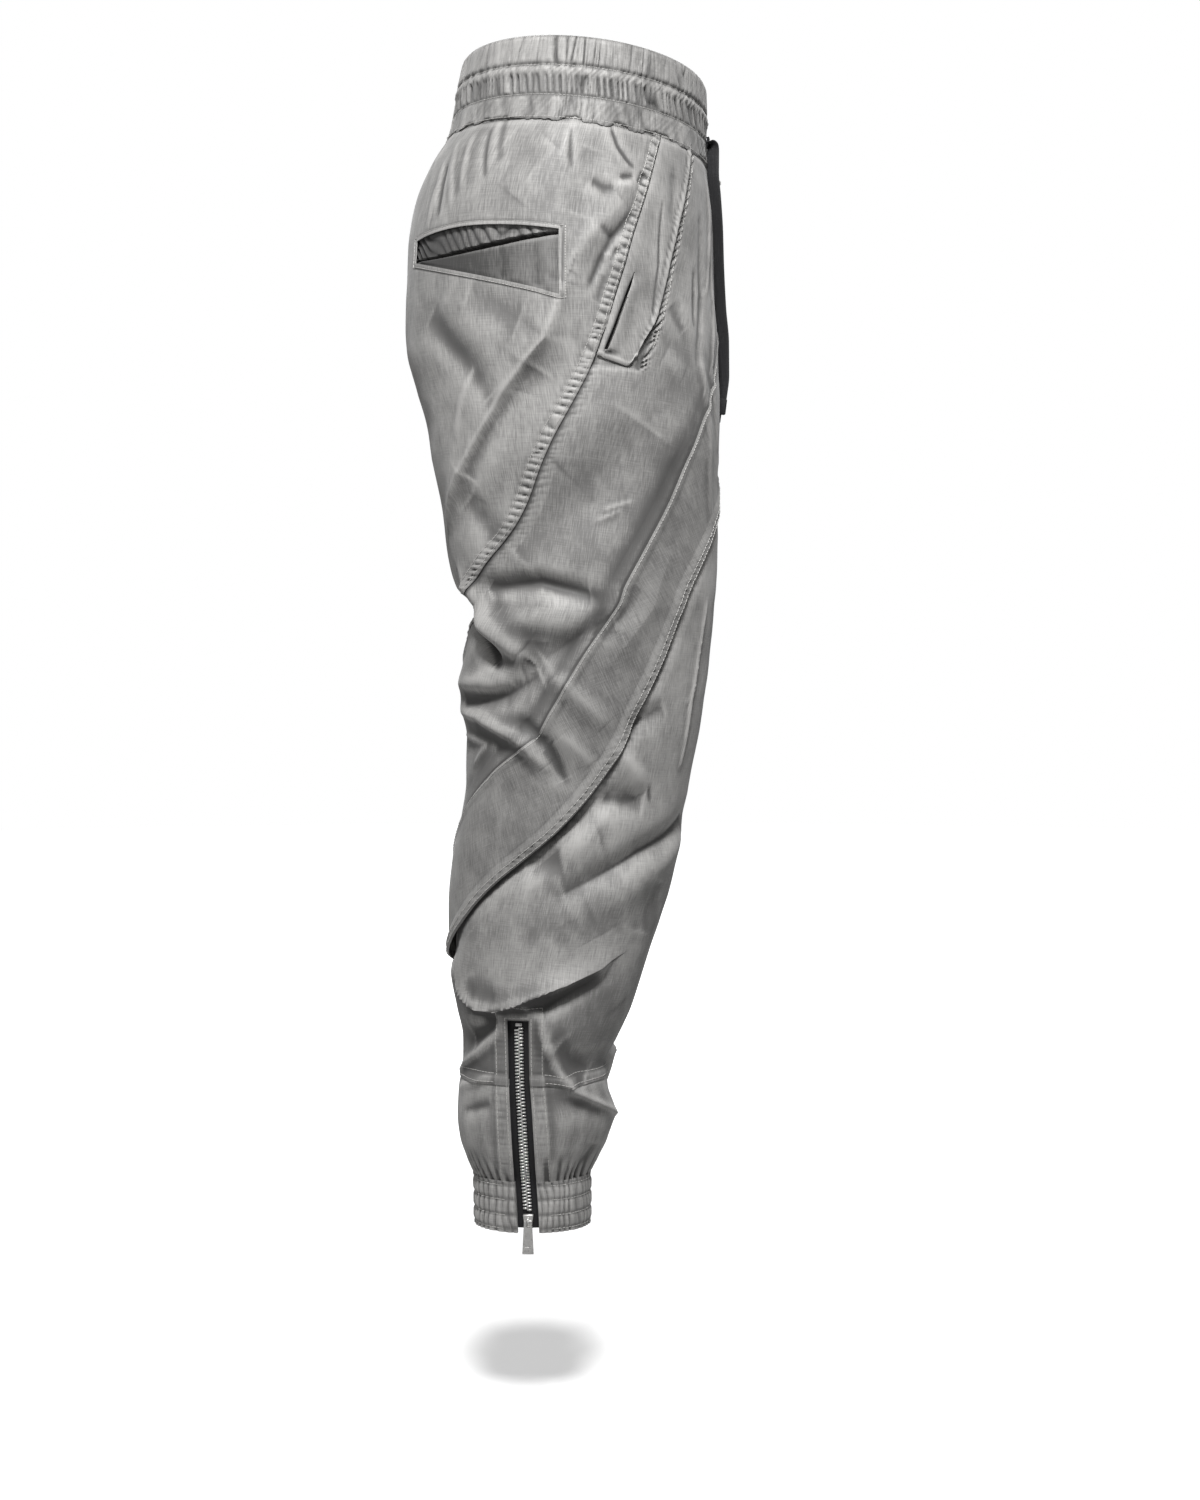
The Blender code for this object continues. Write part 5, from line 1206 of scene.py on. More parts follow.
class TROUSERS_OT_front_pockets(Worker):
    """Makes the slanted front pockets, open along their back edge"""

    bl_idname = "trousers.front_pockets"
    bl_label = "Front pockets"

    def make(self, side):
        beside_slit = (-4.5, -2.5, -1.2, -0.4, 0.5, 1.2, 2.2, 3.6, 5.5)
        shares = np.concatenate(([0, 0.5], np.full(len(beside_slit), 2.0), np.linspace(0, 1, 26)[1:]))
        down = np.linspace(0, 1, 132)[:, None]
        shares = np.broadcast_to(shares, (132, len(shares)))
        foot = (-231 - 13 * np.linspace(0, 1, shares.shape[1]) ** 0.8) * MM
        z = UNDER_BAND + (foot - UNDER_BAND) * down
        start, end, middle = HIP.beside(z, 0.9 * MM), POCKET.angle_at(z), slit_angle(z)
        per_mm = np.degrees(MM / radius_at(z))
        first, last = 2, 2 + len(beside_slit)
        angles = start + (middle + beside_slit[0] * per_mm - start) * shares
        angles[:, first:last] = middle[:, first:last] + np.array(beside_slit) * per_mm[:, first:last]
        front = angles[:, last - 1:last]
        angles[:, last:] = front + (end - front)[:, last:] * shares[:, last:]
        round_corner = 11 * MM * smoothstep((shares - 0.45) / 0.55) ** 2
        round_corner[:, :last] = 0
        z = z + round_corner * smoothstep((down - 0.7) / 0.3)
        from_slit, opened = slit_place(angles, z)
        gape = 2.8 * opened * hump(np.maximum(from_slit - 0.5, 0) / 9) * (from_slit > 0)
        gape = gape - 0.5 * hump(from_slit / 0.7) * opened
        above_foot = (z - z[-1:]) / MM
        hem = 0.7 * hump((above_foot - 2) / 1.5) - 0.9 * hump(above_foot / 0.8)
        inset = -0.7 * hump(np.radians(angles - start) * radius_at(z) / MM / 1.5)
        points = cloth_point(side, "patch", angles, z, (0.9 + gape + hem + inset) * MM + band_sink(z))
        low_down = np.clip((SLIT_TOP - z) / (SLIT_TOP - SLIT_FOOT), 0, 1)[1:, 1:]
        mouth = from_slit[1:, 1:]
        cut = (opened[1:, 1:] > 0.05) & (mouth > -0.3) & (mouth < 0.7 + 2 * (low_down > 0.35))
        wear_and_shade = wear_and_shade_of(points, -SIDES[side]) - 0.3
        obj = cloth_sheet(f"{side}_front_pocket_cloth", side, points, weave_map(angles, z, GRAIN["patch"]),
                          finish_named("trousers cloth"), missing=cut, wear_and_shade=wear_and_shade)
        declare_cloth(obj, "front_pocket", f"{side}_front_pocket", "cloth",
                      rests_on=(f"{side}_side_panel_cloth",))


# ---------------------------------------------------------------- lower leg, ankle and cuff
def zip_distance(angle, z):
    """Distance outside the zip's opening, in metres."""
    beside = np.abs(np.radians((angle - zip_angle(z) + 180) % 360 - 180)) * radius_at(z) - ZIP_SHOWS / 2
    return np.hypot(np.maximum(beside, 0), np.maximum(z - ZIP_TOP, 0))


def placket_lift(angle, z):
    """The turned and stitched facing round the zip's opening."""
    outside = zip_distance(angle, z) / MM
    below_top = smoothstep((ZIP_TOP + 18 * MM - z) / (4 * MM))
    flat = 0.8 * (1 - smoothstep((outside - 11.5) / 1.5)) - 0.6 * hump(outside / 0.7)
    ladder = 0.3 * pleat(z / (5 * MM) + 0.5 * wavering(z, 9 * MM, 8)) * hump((outside - 8) / 5)
    return (flat + ladder) * below_top * MM


def towards_zip(z, start, edge, count):
    """Angles from start to the zip's edge, the last of them at the placket's own steps."""
    steps = np.array(PLACKET_STEPS[::-1]) * MM
    sign = np.sign(edge - start)
    lasts = edge[:, None] - sign[:, None] * np.degrees(steps / radius_at(z)[:, None])
    shares = np.linspace(0, 1, count - len(steps) + 1)[:-1]
    return np.concatenate((start[:, None] + (lasts[:, :1] - start[:, None]) * shares, lasts), 1)


class TROUSERS_OT_lower_legs(Worker):
    """Makes the lower legs, open at the ankle zips"""

    bl_idname = "trousers.lower_legs"
    bl_label = "Lower legs"

    def make(self, side):
        step = 2.05 * MM if side == "right" else 3.2 * MM
        angles, z = panel_chart("leg", side, step, fixed=(ZIP_TOP,))
        z[-1] = ANKLE_SEAM
        height = z[:, 0]
        half = np.degrees(ZIP_SHOWS / 2 / radius_at(height))
        low, high = zip_angle(height) - half, zip_angle(height) + half
        total, across = angles.shape[1], 8
        first = (total - across) // 2
        last = first + across
        left = towards_zip(height, angles[:, 0], low, first + 1)
        right = towards_zip(height, angles[:, -1], high, total - last)[:, ::-1]
        middle = low[:, None] + (high - low)[:, None] * np.linspace(0, 1, across + 1)[1:-1]
        aimed = np.concatenate((left, middle, right), 1)
        grip = smoothstep((-0.690 - z) / 0.060)
        angles = angles + (aimed - angles) * grip
        column = np.arange(total - 1)
        opened = (z[1:, :-1] < ZIP_TOP - 1e-6) & ((column >= first) & (column < last))[None, :]
        foot = 0.8 * MM * smoothstep((ANKLE_SEAM + 9 * MM - z) / (2 * MM))
        dress_panel(side, "leg", "lower_leg", (angles, z), placket_lift(angles, z) + foot, opened,
                    rests_on=(f"{side}_sweep_panel_cloth",))


def cuff_gather(side, turned, height_over_cuff):
    """Gathers that rise from the cuff's seam, narrow and deep at it and dying out above."""
    seed = 3 if side == "right" else 8
    reach = (24 + 13 * wavering(turned, 21, seed)) * MM
    phase = turned / 9.6 + 0.8 * wavering(turned, 26, seed + 1) + height_over_cuff / (60 * MM)
    strength = (1 - smoothstep(height_over_cuff / reach)) * (1 + 0.6 * wavering(turned, 15, seed + 2))
    return 2.0 * MM * strength * pleat(phase, 0.8)


class TROUSERS_OT_ankle_panels(Worker):
    """Makes the panels between the ankle seams and the cuffs"""

    bl_idname = "trousers.ankle_panels"
    bl_label = "Ankle panels"

    def make(self, side):
        step = 1.8 * MM if side == "right" else 2.4 * MM
        height = np.arange(ANKLE_SEAM + 5 * MM, CUFF_TOP - 1 * MM, -step)
        half = np.degrees(ZIP_SHOWS / 2 / radius_at(height))
        low, high = zip_angle(height) - half, zip_angle(height) + half
        middle = (low + high) / 2 + 180
        columns = 90 if side == "right" else 66
        near = towards_zip(height, middle, high, columns)[:, ::-1]
        far = towards_zip(height, middle, low + 360, columns)
        angles = np.concatenate((near[:, :-1], far), 1)
        z = np.broadcast_to(height[:, None], angles.shape)
        under = -0.9 * MM * smoothstep((z - ANKLE_SEAM + 1 * MM) / (3 * MM))
        gathers = cuff_gather(side, angles, z - CUFF_TOP)
        seamed = -0.8 * MM * hump((z - CUFF_TOP) / (2 * MM))
        turned = (angles + 180) % 360 - 180
        points = cloth_point(side, "ankle", turned, z, placket_lift(turned, z) + under + gathers + seamed)
        # Darker overall, with painted shade in the hollows.
        obj = cloth_sheet(f"{side}_ankle_panel_cloth", side, points, weave_map(angles, z),
                          finish_named("trousers cloth"), wear_and_shade=wear_and_shade_of(points, -SIDES[side]) - 0.7)
        declare_cloth(obj, "ankle_panel", f"{side}_ankle_panel", "cloth", held="gathered",
                      rests_on=(f"{side}_lower_leg_cloth",))


CUFF_STITCHES = (0.08, 0.36, 0.66, 0.93)  # shares of the cuff's height at its rows of stitching


def cuff_angles(z, share):
    """From the front edge of the zip round the leg to its back edge, between -180 and 180 degrees."""
    half = np.degrees(ZIP_SHOWS / 2 / radius_at(z))
    start, end = zip_angle(z) + half, zip_angle(z) + 360 - half
    return (start + (end - start) * share + 180) % 360 - 180


def cuff_lift(side, share, down):
    """Swell and gathers of a cuff in metres, pinched at each row of stitching."""
    seed = 21 if side == "right" else 33
    pinch = sum(hump((down - row) / 0.045) for row in CUFF_STITCHES)
    phase = share * sewing().cuff_gathers + 0.7 * wavering(share, 0.05, seed)
    phase = phase + 0.5 * wavering(share + 0.2 * down, 0.11, 4)
    strength = (1.3 - 0.75 * pinch) * (1 + 0.5 * wavering(share, 0.03, seed + 1))
    rolled = hump(down / 0.03) + hump((1 - down) / 0.03)
    drawn = pleat(phase, 0.6) + 0.7 * valleys(share * 90 + 0.6 * down, seed, 0.2)
    return (0.9 - 0.9 * pinch - 0.5 * rolled + strength * drawn) * MM


class TROUSERS_OT_cuffs(Worker):
    """Makes the gathered cuffs"""

    bl_idname = "trousers.cuffs"
    bl_label = "Cuffs"

    def make(self, side):
        lines, uv, wear_and_shade = [], [], []
        columns = 440 if side == "right" else 330
        share = np.linspace(0, 1, columns)
        for outer, rows in ((True, np.linspace(0, 1, 36)), (False, (1.0, 0.66, 0.33, 0.0))):
            for down in rows:
                z = np.full(columns, CUFF_TOP + (HEM - CUFF_TOP) * down)
                angles = cuff_angles(z, share)
                lift = cuff_lift(side, share, down) if outer else np.full(columns, -2.6 * MM)
                lines.append(cloth_point(side, "ankle", angles, z, lift))
                # Painted shade in the gathers' valleys and at the pinched rows, the whole cuff darker, the
                # crests paler.
                wear_and_shade.append(np.clip(lift / (1.0 * MM) - 0.9, -2.2, 1))
                uv.append(np.stack((share * 0.3, z), -1))
        obj = closed_ring(f"{side}_cuff_cloth", lines, finish_named("trousers cloth"), False, uv, wear_and_shade)
        declare_cloth(obj, "cuff", f"{side}_cuff", "cloth", held="gathered",
                      rests_on=(f"{side}_ankle_panel_cloth",))


# ---------------------------------------------------------------- waistband
def band_place(turn, down, outwards):
    """A point of the band: turn goes from 0 in front to 1 round by the right, and down from top to foot."""
    degrees_round = 360 * turn
    right = degrees_round <= 180
    angle = np.where(right, 90 - degrees_round, degrees_round - 270)
    z = BAND_TOP + (BAND_FOOT - BAND_TOP) * down
    out, forward, steer_out, steer_forward, _ = bare_point(angle, z)
    sign = np.where(right, -1, 1)
    out, forward = out + steer_out * outwards, forward + steer_forward * outwards
    return np.stack((sign * out, -forward, z - forward * FRONT_DROP), -1)


BAND_STITCHES = (0.35, 0.71)  # shares of the band's height at its two rows of elastic stitching


def band_lift(turn, down):
    """Swell and gathers of the band in metres."""
    first, second = BAND_STITCHES
    upper = smoothstep(down / 0.05) * smoothstep((first - down) / 0.04)
    pleats = smoothstep((down - 0.44) / 0.06) * smoothstep((second - down) / 0.03)
    roll = hump((down - 0.42) / 0.06)
    foot = smoothstep((down - second) / 0.05)
    drawn = 0.45 + 0.55 * wavering(turn, 0.09, 19) ** 2
    lean = 0.25 * wavering(turn, 0.013, 16) * (down - 0.2)
    one = valleys(turn * sewing().band_gathers + 2.2 * wavering(turn, 0.017, 5) + lean * 8, 4, 0.12)
    one = one + 0.5 * valleys(turn * 190 + 1.5 * wavering(turn, 0.012, 6) + lean * 9, 14, 0.2)
    lean = (down - 0.55) * (2.6 + 1.4 * wavering(turn, 0.07, 9))
    two = pleat(turn * sewing().band_pleats + 1.1 * wavering(turn, 0.021, 10) + lean, 0.55)
    two = two * (0.75 + 0.45 * wavering(turn, 0.016, 11)) + 0.8 * valleys(turn * 150 + lean, 24, 0.2)
    crinkle = wavering(turn + 0.05 * down, 0.006, 12) + wavering(turn - 0.08 * down, 0.0026, 13)
    drape = 0.6 * wavering(turn, 0.02, 14) + 0.5 * wavering(turn, 0.011, 15)
    lift = 4.2 * one * drawn * (0.35 + 0.65 * upper) + 2.3 * two * pleats + 1.3 * upper + 1.3 * roll
    lift = lift + foot * (0.6 + 1.0 * drape + 0.8 * valleys(turn * 60 + 2 * down, 34, 0.1))
    lift = lift + 0.5 * crinkle * (roll + 0.6 * hump((down - first) / 0.03) + 0.5 * foot + 0.2 * upper)
    lift = lift - 0.9 * hump((down - first) / 0.02) - 0.7 * hump((down - second) / 0.02)
    lift = lift - 0.5 * hump(down / 0.02) - 0.7 * hump((1 - down) / 0.015)
    return lift * MM


class TROUSERS_OT_waistband(Worker):
    """Makes the gathered waistband: a channel, a soft roll, a pleated channel and a smooth foot"""

    bl_idname = "trousers.waistband"
    bl_label = "Waistband"

    def execute(self, _context):
        columns = 1050
        turn = np.arange(columns) / columns
        foot_edge = 0.03 * np.tanh(3 * wavering(turn, 0.018, 17)) + 0.012 * wavering(turn, 0.005, 18)
        lines, uv, wear_and_shade = [], [], []
        outer_rows = (np.linspace(0, 0.33, 14), np.linspace(0.35, 0.73, 24), np.linspace(0.76, 1, 10))
        for down in np.concatenate(outer_rows):
            sloped = down + foot_edge * smoothstep((down - 0.8) / 0.2)
            lift = band_lift(turn, down)
            lines.append(band_place(turn, sloped, lift + 0.6 * MM))
            # Painted shade in the gathers' valleys and at the pinched rows, paler on the crests.
            wear_and_shade.append(np.clip((lift - 0.8 * MM) / (1.0 * MM), -2.2, 1))
            uv.append(np.stack((turn * 0.95, np.full(columns, -0.1 * down)), -1))
        for down in (1.0, 0.6, 0.25, 0.0):
            lines.append(band_place(turn, down, -3.2 * MM))
            wear_and_shade.append(np.zeros(columns))
            uv.append(np.stack((turn * 0.95, np.full(columns, -0.1 * down)), -1))
        obj = closed_ring("waistband_cloth", lines, finish_named("trousers cloth"), True, uv, wear_and_shade)
        declare_cloth(obj, "waistband", "waistband", "cloth", held="gathered", rests_on=())
        return {"FINISHED"}


# ---------------------------------------------------------------- blocks for metal and stitches
def flat_block(across, up, out, name, taper=1.0, bevel=0.3 * MM, centre=(0, 0, 0), segments=2):
    """A bevelled block drawn as (across, up, out), its foot wider than its top by taper."""
    bpy.ops.mesh.primitive_cube_add(size=1)
    obj = bpy.context.active_object
    obj.name = name
    for v in obj.data.vertices:
        width = across * (taper if v.co.y < 0 else 1.0)
        v.co = Vector((v.co.x * width, v.co.y * up, v.co.z * out)) + Vector(centre)
    if bevel:
        apply_modifier(obj, "BEVEL", width=bevel, segments=segments, limit_method="NONE")
    return obj


RING_STEPS, WIRE_STEPS = 40, 14


def flat_ring(major, minor, name, centre, flatten, upright=False):
    """A ring drawn in (across, up, out), flattened along its axis, which points out or, upright, across."""
    bpy.ops.mesh.primitive_torus_add(major_radius=major, minor_radius=minor,
                                     major_segments=RING_STEPS, minor_segments=WIRE_STEPS)
    obj = bpy.context.active_object
    obj.name = name
    turned = Matrix.Rotation(math.radians(90) if upright else 0.0, 4, "Y")
    obj.data.transform(Matrix.Translation(centre) @ turned @ Matrix.Diagonal((1, 1, flatten, 1)))
    return obj


def boolean(obj, cutter, operation="DIFFERENCE"):
    apply_modifier(obj, "BOOLEAN", operation=operation, solver="EXACT", object=cutter)
    bpy.data.objects.remove(cutter)


def joined(objects, name):
    deselect()
    for obj in objects:
        obj.select_set(True)
    bpy.context.view_layer.objects.active = objects[0]
    bpy.ops.object.join()
    objects[0].name = name
    return objects[0]


def into_place(obj, place, material, body, slot, *nodes):
    """Moves a mesh drawn in (across, up, out) to its place and hides the nodes that it stands for."""
    obj.data.transform(place)
    obj.location, obj.rotation_euler, obj.scale = (0, 0, 0), (0, 0, 0), (1, 1, 1)
    obj.data.materials.clear()
    obj.data.materials.append(finish_named(material))
    finish_smooth(obj, 40)
    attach(obj, body)
    if nodes:
        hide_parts(*nodes)


def replicate(template, places, name):
    """One mesh of a template's copies, each moved by a matrix. The template is removed."""
    corners = np.array([(*v.co, 1) for v in template.data.vertices])
    polygons = [tuple(p.vertices) for p in template.data.polygons]
    moved = np.einsum("nij,vj->nvi", np.array(places), corners)[..., :3]
    faces = [[k * len(corners) + v for v in polygon] for k in range(len(places)) for polygon in polygons]
    bpy.data.objects.remove(template)
    return mesh_from(name, moved, faces)


def facing(point, across, up, out):
    """The matrix from (across, up, out) to the garment's frame."""
    columns = [Vector(v).normalized().to_4d() for v in (across, up, out)]
    return Matrix([(*v[:3], 0) for v in columns] + [(*point, 1)]).transposed()


# ---------------------------------------------------------------- zips
PULL_RISE = 0.95 * MM  # of a pull's axis over its slider
ARCH_RADIUS, ARCH_WIRE = 2.5 * MM, 0.55 * MM
PULL_BAR, PULL_SLOT = 1.1 * MM, 4.4 * MM
TAPE_DEEP = 4.2 * MM  # of an ankle zip's tape under the leg's surface
Hardware = namedtuple("Hardware", "width height deep pull_length pull_width flare")
ANKLE_HARDWARE = Hardware(8.5 * MM, 10 * MM, 4.2 * MM, 27 * MM, 6.4 * MM, 1.45)
FLY_HARDWARE = Hardware(6.5 * MM, 8 * MM, 2.4 * MM, 26 * MM, 6.2 * MM, 1.0)


def slider_place(prefix, size):
    """Where the slider's foot lies, from the joint of its pull."""
    joint = next(j for j in frame["joints"] if j["name"] == f"{prefix}_pull_swing")
    across = -Vector(joint["axis"]).normalized()
    up = Vector((0, 0, 1))
    out = across.cross(up)
    return facing(Vector(joint["pos_m"]) - out * (size.deep + PULL_RISE), across, up, out)


def make_slider(prefix, size, place):
    """A slider with a waist, two wings, a raised spine and the arch that the pull turns on."""
    wide, high, deep = size.width, size.height, size.deep
    body = flat_block(wide, high, deep, f"{prefix}_slider_metal", 0.72, 0.7 * MM, (0, 0, deep / 2), 3)
    waist = [flat_block(wide * 0.3, high * 0.34, deep * 2, "waist", 1.0, 0.5 * MM,
                        (sign * wide * 0.55, -high * 0.36, deep / 2)) for sign in (-1, 1)]
    for cutter in waist:
        boolean(body, cutter)
    groove = flat_block(wide * 2, high * 2, deep * 0.16, "groove", 1.0, 0, (0, 0, deep * 0.42))
    core = flat_block(wide * 0.6, high * 0.8, deep * 0.5, "core", 0.6, 0, (0, 0, deep * 0.42))
    boolean(body, groove)
    spine = flat_block(wide * 0.36, high * 0.86, 0.44 * MM, "spine", 0.8, 0.25 * MM, (0, 0, deep))
    arch = flat_ring(ARCH_RADIUS, ARCH_WIRE, "arch", (0, 0, deep - 0.15 * MM), 1.35, True)
    slider = joined([body, core, spine, arch], f"{prefix}_slider_metal")
    into_place(slider, place, "nickel", "garment", "zip_metal", f"{prefix}_slider")


def make_pull(prefix, size, place):
    """A tab with a slot that hangs on the arch, and a shallow panel in its face."""
    axis = size.deep + PULL_RISE
    middle = (0, (PULL_BAR - size.pull_length) / 2, axis)
    tab = flat_block(size.pull_width, size.pull_length, PULL_BAR, f"{prefix}_pull_metal", size.flare,
                     0.28 * MM, middle, 3)
    slot = (0, -(PULL_BAR + PULL_SLOT) / 2, axis)
    boolean(tab, flat_block(2.7 * MM, PULL_SLOT, 4 * PULL_BAR, "slot", 1.0, 0.3 * MM, slot))
    panel = (0, -size.pull_length * 0.56, axis + PULL_BAR * 0.5)
    boolean(tab, flat_block(size.pull_width * 0.56, size.pull_length * 0.42, 0.5 * MM, "panel", size.flare,
                            0.15 * MM, panel))
    into_place(tab, place, "nickel", f"{prefix}_pull", "zip_metal", f"{prefix}_pull")


TOOTH_ASIDE = 1.15 * MM  # of a tooth's middle from the line that the teeth meet on


def tooth_places(points, out):
    """Where the teeth of both sides lie along a line of points, interleaved."""
    steps = np.concatenate(([0], np.cumsum(np.linalg.norm(np.diff(points, axis=0), axis=1))))
    pitch = trim().tooth_pitch
    places = []
    for k, s in enumerate(np.arange(pitch / 2, steps[-1] - pitch / 2, pitch / 2)):
        at = Vector([np.interp(s, steps, points[:, axis]) for axis in range(3)])
        ahead = Vector([np.interp(s + pitch, steps, points[:, axis]) for axis in range(3)])
        up = (at - ahead).normalized()
        across = up.cross(out).normalized()
        sign = -1 if k % 2 else 1
        point = at + across * sign * TOOTH_ASIDE
        places.append(facing(point, across * sign, up, across.cross(up) * sign))
    return places


def make_teeth(name, points, out):
    """Interleaved metal teeth, each a rounded block."""
    shank = flat_block(4.0 * MM, 1.3 * MM, 2.4 * MM, "tooth", 1.0, 0.28 * MM, (0.4 * MM, 0, 0), 1)
    teeth = replicate(shank, tooth_places(points, out), name)
    into_place(teeth, Matrix.Identity(4), "nickel", "garment", "zip_metal")


def zip_line(side, top, foot, deep):
    """A line down the middle of an ankle zip, that far under the leg's surface."""
    z = np.linspace(top, foot, 90)
    return cloth_point(side, "plain", zip_angle(z), z, -deep)


class TROUSERS_OT_ankle_zips(Worker):
    """Makes the ankle zips: black tape, metal teeth, slider and pull"""

    bl_idname = "trousers.ankle_zips"
    bl_label = "Ankle zips"

    def make(self, side):
        place = slider_place(f"{side}_ankle", ANKLE_HARDWARE)
        make_slider(f"{side}_ankle", ANKLE_HARDWARE, place)
        make_pull(f"{side}_ankle", ANKLE_HARDWARE, place)
        out = Vector((SIDES[side], 0, 0))
        line = zip_line(side, ZIP_TOP - 5 * MM, -918 * MM, TAPE_DEEP - 2.0 * MM)
        make_teeth(f"{side}_zip_teeth", line, out)
        stop = zip_line(side, ZIP_TOP - 1.5 * MM, ZIP_TOP - 5 * MM, TAPE_DEEP - 1.9 * MM)
        bar = flat_block(5.2 * MM, 2.6 * MM, 2.2 * MM, f"{side}_zip_stop", 1.0, 0.5 * MM)
        across = Vector((0, 0, 1)).cross(out)
        into_place(bar, facing(stop[45], across, (0, 0, 1), out), "nickel", "garment", "zip_metal")
        self.make_tape(side)

    def make_tape(self, side):
        """Two bands of ribbed tape that meet under the teeth, with a round cord along each inner edge."""
        rows, columns = np.meshgrid(np.linspace(0, 1, 120), np.linspace(-1, 1, 33), indexing="ij")
        z = ZIP_TOP + 5 * MM + (ZIP_FOOT - ZIP_TOP - 5.5 * MM) * rows
        off = columns * 13.5 * MM
        angles = zip_angle(z) + np.degrees(off / radius_at(z))
        ribs = 0.12 * np.abs(np.sin(off / MM * 2.2)) + 0.9 * hump((np.abs(off) / MM - 2.9) / 0.7)
        points = cloth_point(side, "plain", angles, z, -TAPE_DEEP + ribs * MM)
        obj = cloth_sheet(f"{side}_zip_tape_cloth", side, points, np.stack((off, z), -1),
                          finish_named("black tape"))
        declare_cloth(obj, "zip_tape", f"{side}_zip_tape", "zip_tape", held="stretched",
                      rests_on=(f"{side}_lower_leg_cloth",))


# ---------------------------------------------------------------- fly
FLY_TOP, FLY_FOOT = -45 * MM, -196 * MM
FLY_ZIP_X = -17 * MM
FLAP_RIGHT, FLAP_LEFT, FLAP_NARROWS = -8 * MM, 32 * MM, 26 * MM
FLAP_CURVES_FROM = 0.62
FLAP_GAPE, GAPE_ENDS = 2.4 * MM, 0.77


def front_point(x, z, outside):
    """Points before the belly at x from the middle plane, negative on the garment's right."""
    x, z, outside = np.broadcast_arrays(x, z, outside)
    centre, outer, inner = (SECTION_AT[name](z) for name in ("centre", "outer", "inner"))
    away = np.abs(x)
    across = np.where(away > centre, outer - centre, centre - inner)
    angle = np.degrees(np.arccos(np.clip((away - centre) / across, -1, 1)))
    right, left = (cloth_point(side, "plain", angle, z) for side in SIDES)
    points = np.where((x < 0)[..., None], right, left)
    return np.stack((x, points[..., 1] - outside, points[..., 2]), -1)


class TROUSERS_OT_fly(bpy.types.Operator):
    """Makes the fly: a flap that gapes at its open edge, and the zip beside it"""

    bl_idname = "trousers.fly"
    bl_label = "Fly"

    def execute(self, _context):
        deselect()
        place = slider_place("fly", FLY_HARDWARE)
        make_slider("fly", FLY_HARDWARE, place)
        make_pull("fly", FLY_HARDWARE, place)
        self.make_flap()
        z = np.linspace(FLY_TOP - 14 * MM, FLY_FOOT + 14 * MM, 80)
        line = front_point(np.full(80, FLY_ZIP_X), z, 2.6 * MM)
        make_teeth("fly_zip_teeth", line, Vector((0, -1, 0)))
        stop = flat_block(5.6 * MM, 3.2 * MM, 2.4 * MM, "fly_zip_stop", 1.0, 0.5 * MM)
        place = facing(line[-1], (-1, 0, 0), (0, 0, 1), (0, -1, 0))
        into_place(stop, place, "nickel", "garment", "zip_metal")
        down, across = np.meshgrid(np.linspace(0, 1, 80), np.linspace(-1, 1, 13), indexing="ij")
        z = FLY_TOP - 3 * MM + (FLY_FOOT + 12 * MM - FLY_TOP) * down
        x = FLY_ZIP_X + 8 * MM * across
        ribs = 0.1 * np.abs(np.sin(across * 18)) * MM
        tape = cloth_sheet("fly_zip_tape_cloth", "left", front_point(x, z, 1.7 * MM + ribs),
                           np.stack((x, z), -1), finish_named("black tape"))
        declare_cloth(tape, "fly_zip_tape", "fly_zip_tape", "zip_tape", held="stretched",
                      rests_on=("right_side_panel_cloth",))
        return {"FINISHED"}

    def make_flap(self):
        down, across = np.meshgrid(np.linspace(0, 1, 90), np.linspace(0, 1, 30), indexing="ij")
        obj = cloth_sheet("fly_flap_cloth", "left", flap_point(down, across),
                          weave_map(across * 25, down * 0.15), finish_named("trousers cloth"), wall=1.3 * MM)
        declare_cloth(obj, "fly_flap", "fly_flap", "cloth", rests_on=("left_side_panel_cloth",))


def flap_point(down, across, lift=0.0):
    """A point of the fly's flap, whose left edge curves in towards the crotch."""
    z = FLY_TOP + (FLY_FOOT - FLY_TOP) * down
    gape = FLAP_GAPE * np.sin(np.pi * np.minimum(1.0, down / GAPE_ENDS)) * (1 - across) ** 2
    left = FLAP_LEFT - FLAP_NARROWS * smoothstep((down - FLAP_CURVES_FROM) / (1 - FLAP_CURVES_FROM))
    ripple = 0.35 * pleat(down * 17 + 0.5 * wavering(down, 0.05, 2), 1.0)
    ripple = ripple * smoothstep((across - 0.5) / 0.4) * MM
    x = FLAP_RIGHT + (left - FLAP_RIGHT) * across
    return front_point(x, z, 2.6 * MM + gape + ripple + lift)


# ---------------------------------------------------------------- drawstring
CORD_X = 42 * MM
CORD_TWIST = 56  # degrees between the webbing's face and the belly
# The route of each hanging end in millimetres: how far it strays sideways, how far its middle stands before
# the cloth, and its height.
CordPoint = namedtuple("CordPoint", "sideways stand z")
CORD_LINE = tuple(CordPoint(*row) for row in (
    (0, 1.8, -33),
    (0, 5.4, -33.4),
    (0, 7.6, -36.5),
    (0, 7.4, -44),
    (0, 6.4, -58),
    (-1, 5.6, -80),
    (-2, 5.4, -108),
    (-3, 5.4, -140),
    (-4, 5.4, -175),
    (-4, 5.5, -205),
    (-4, 5.7, -232),
    (-4, 5.9, -252),
))


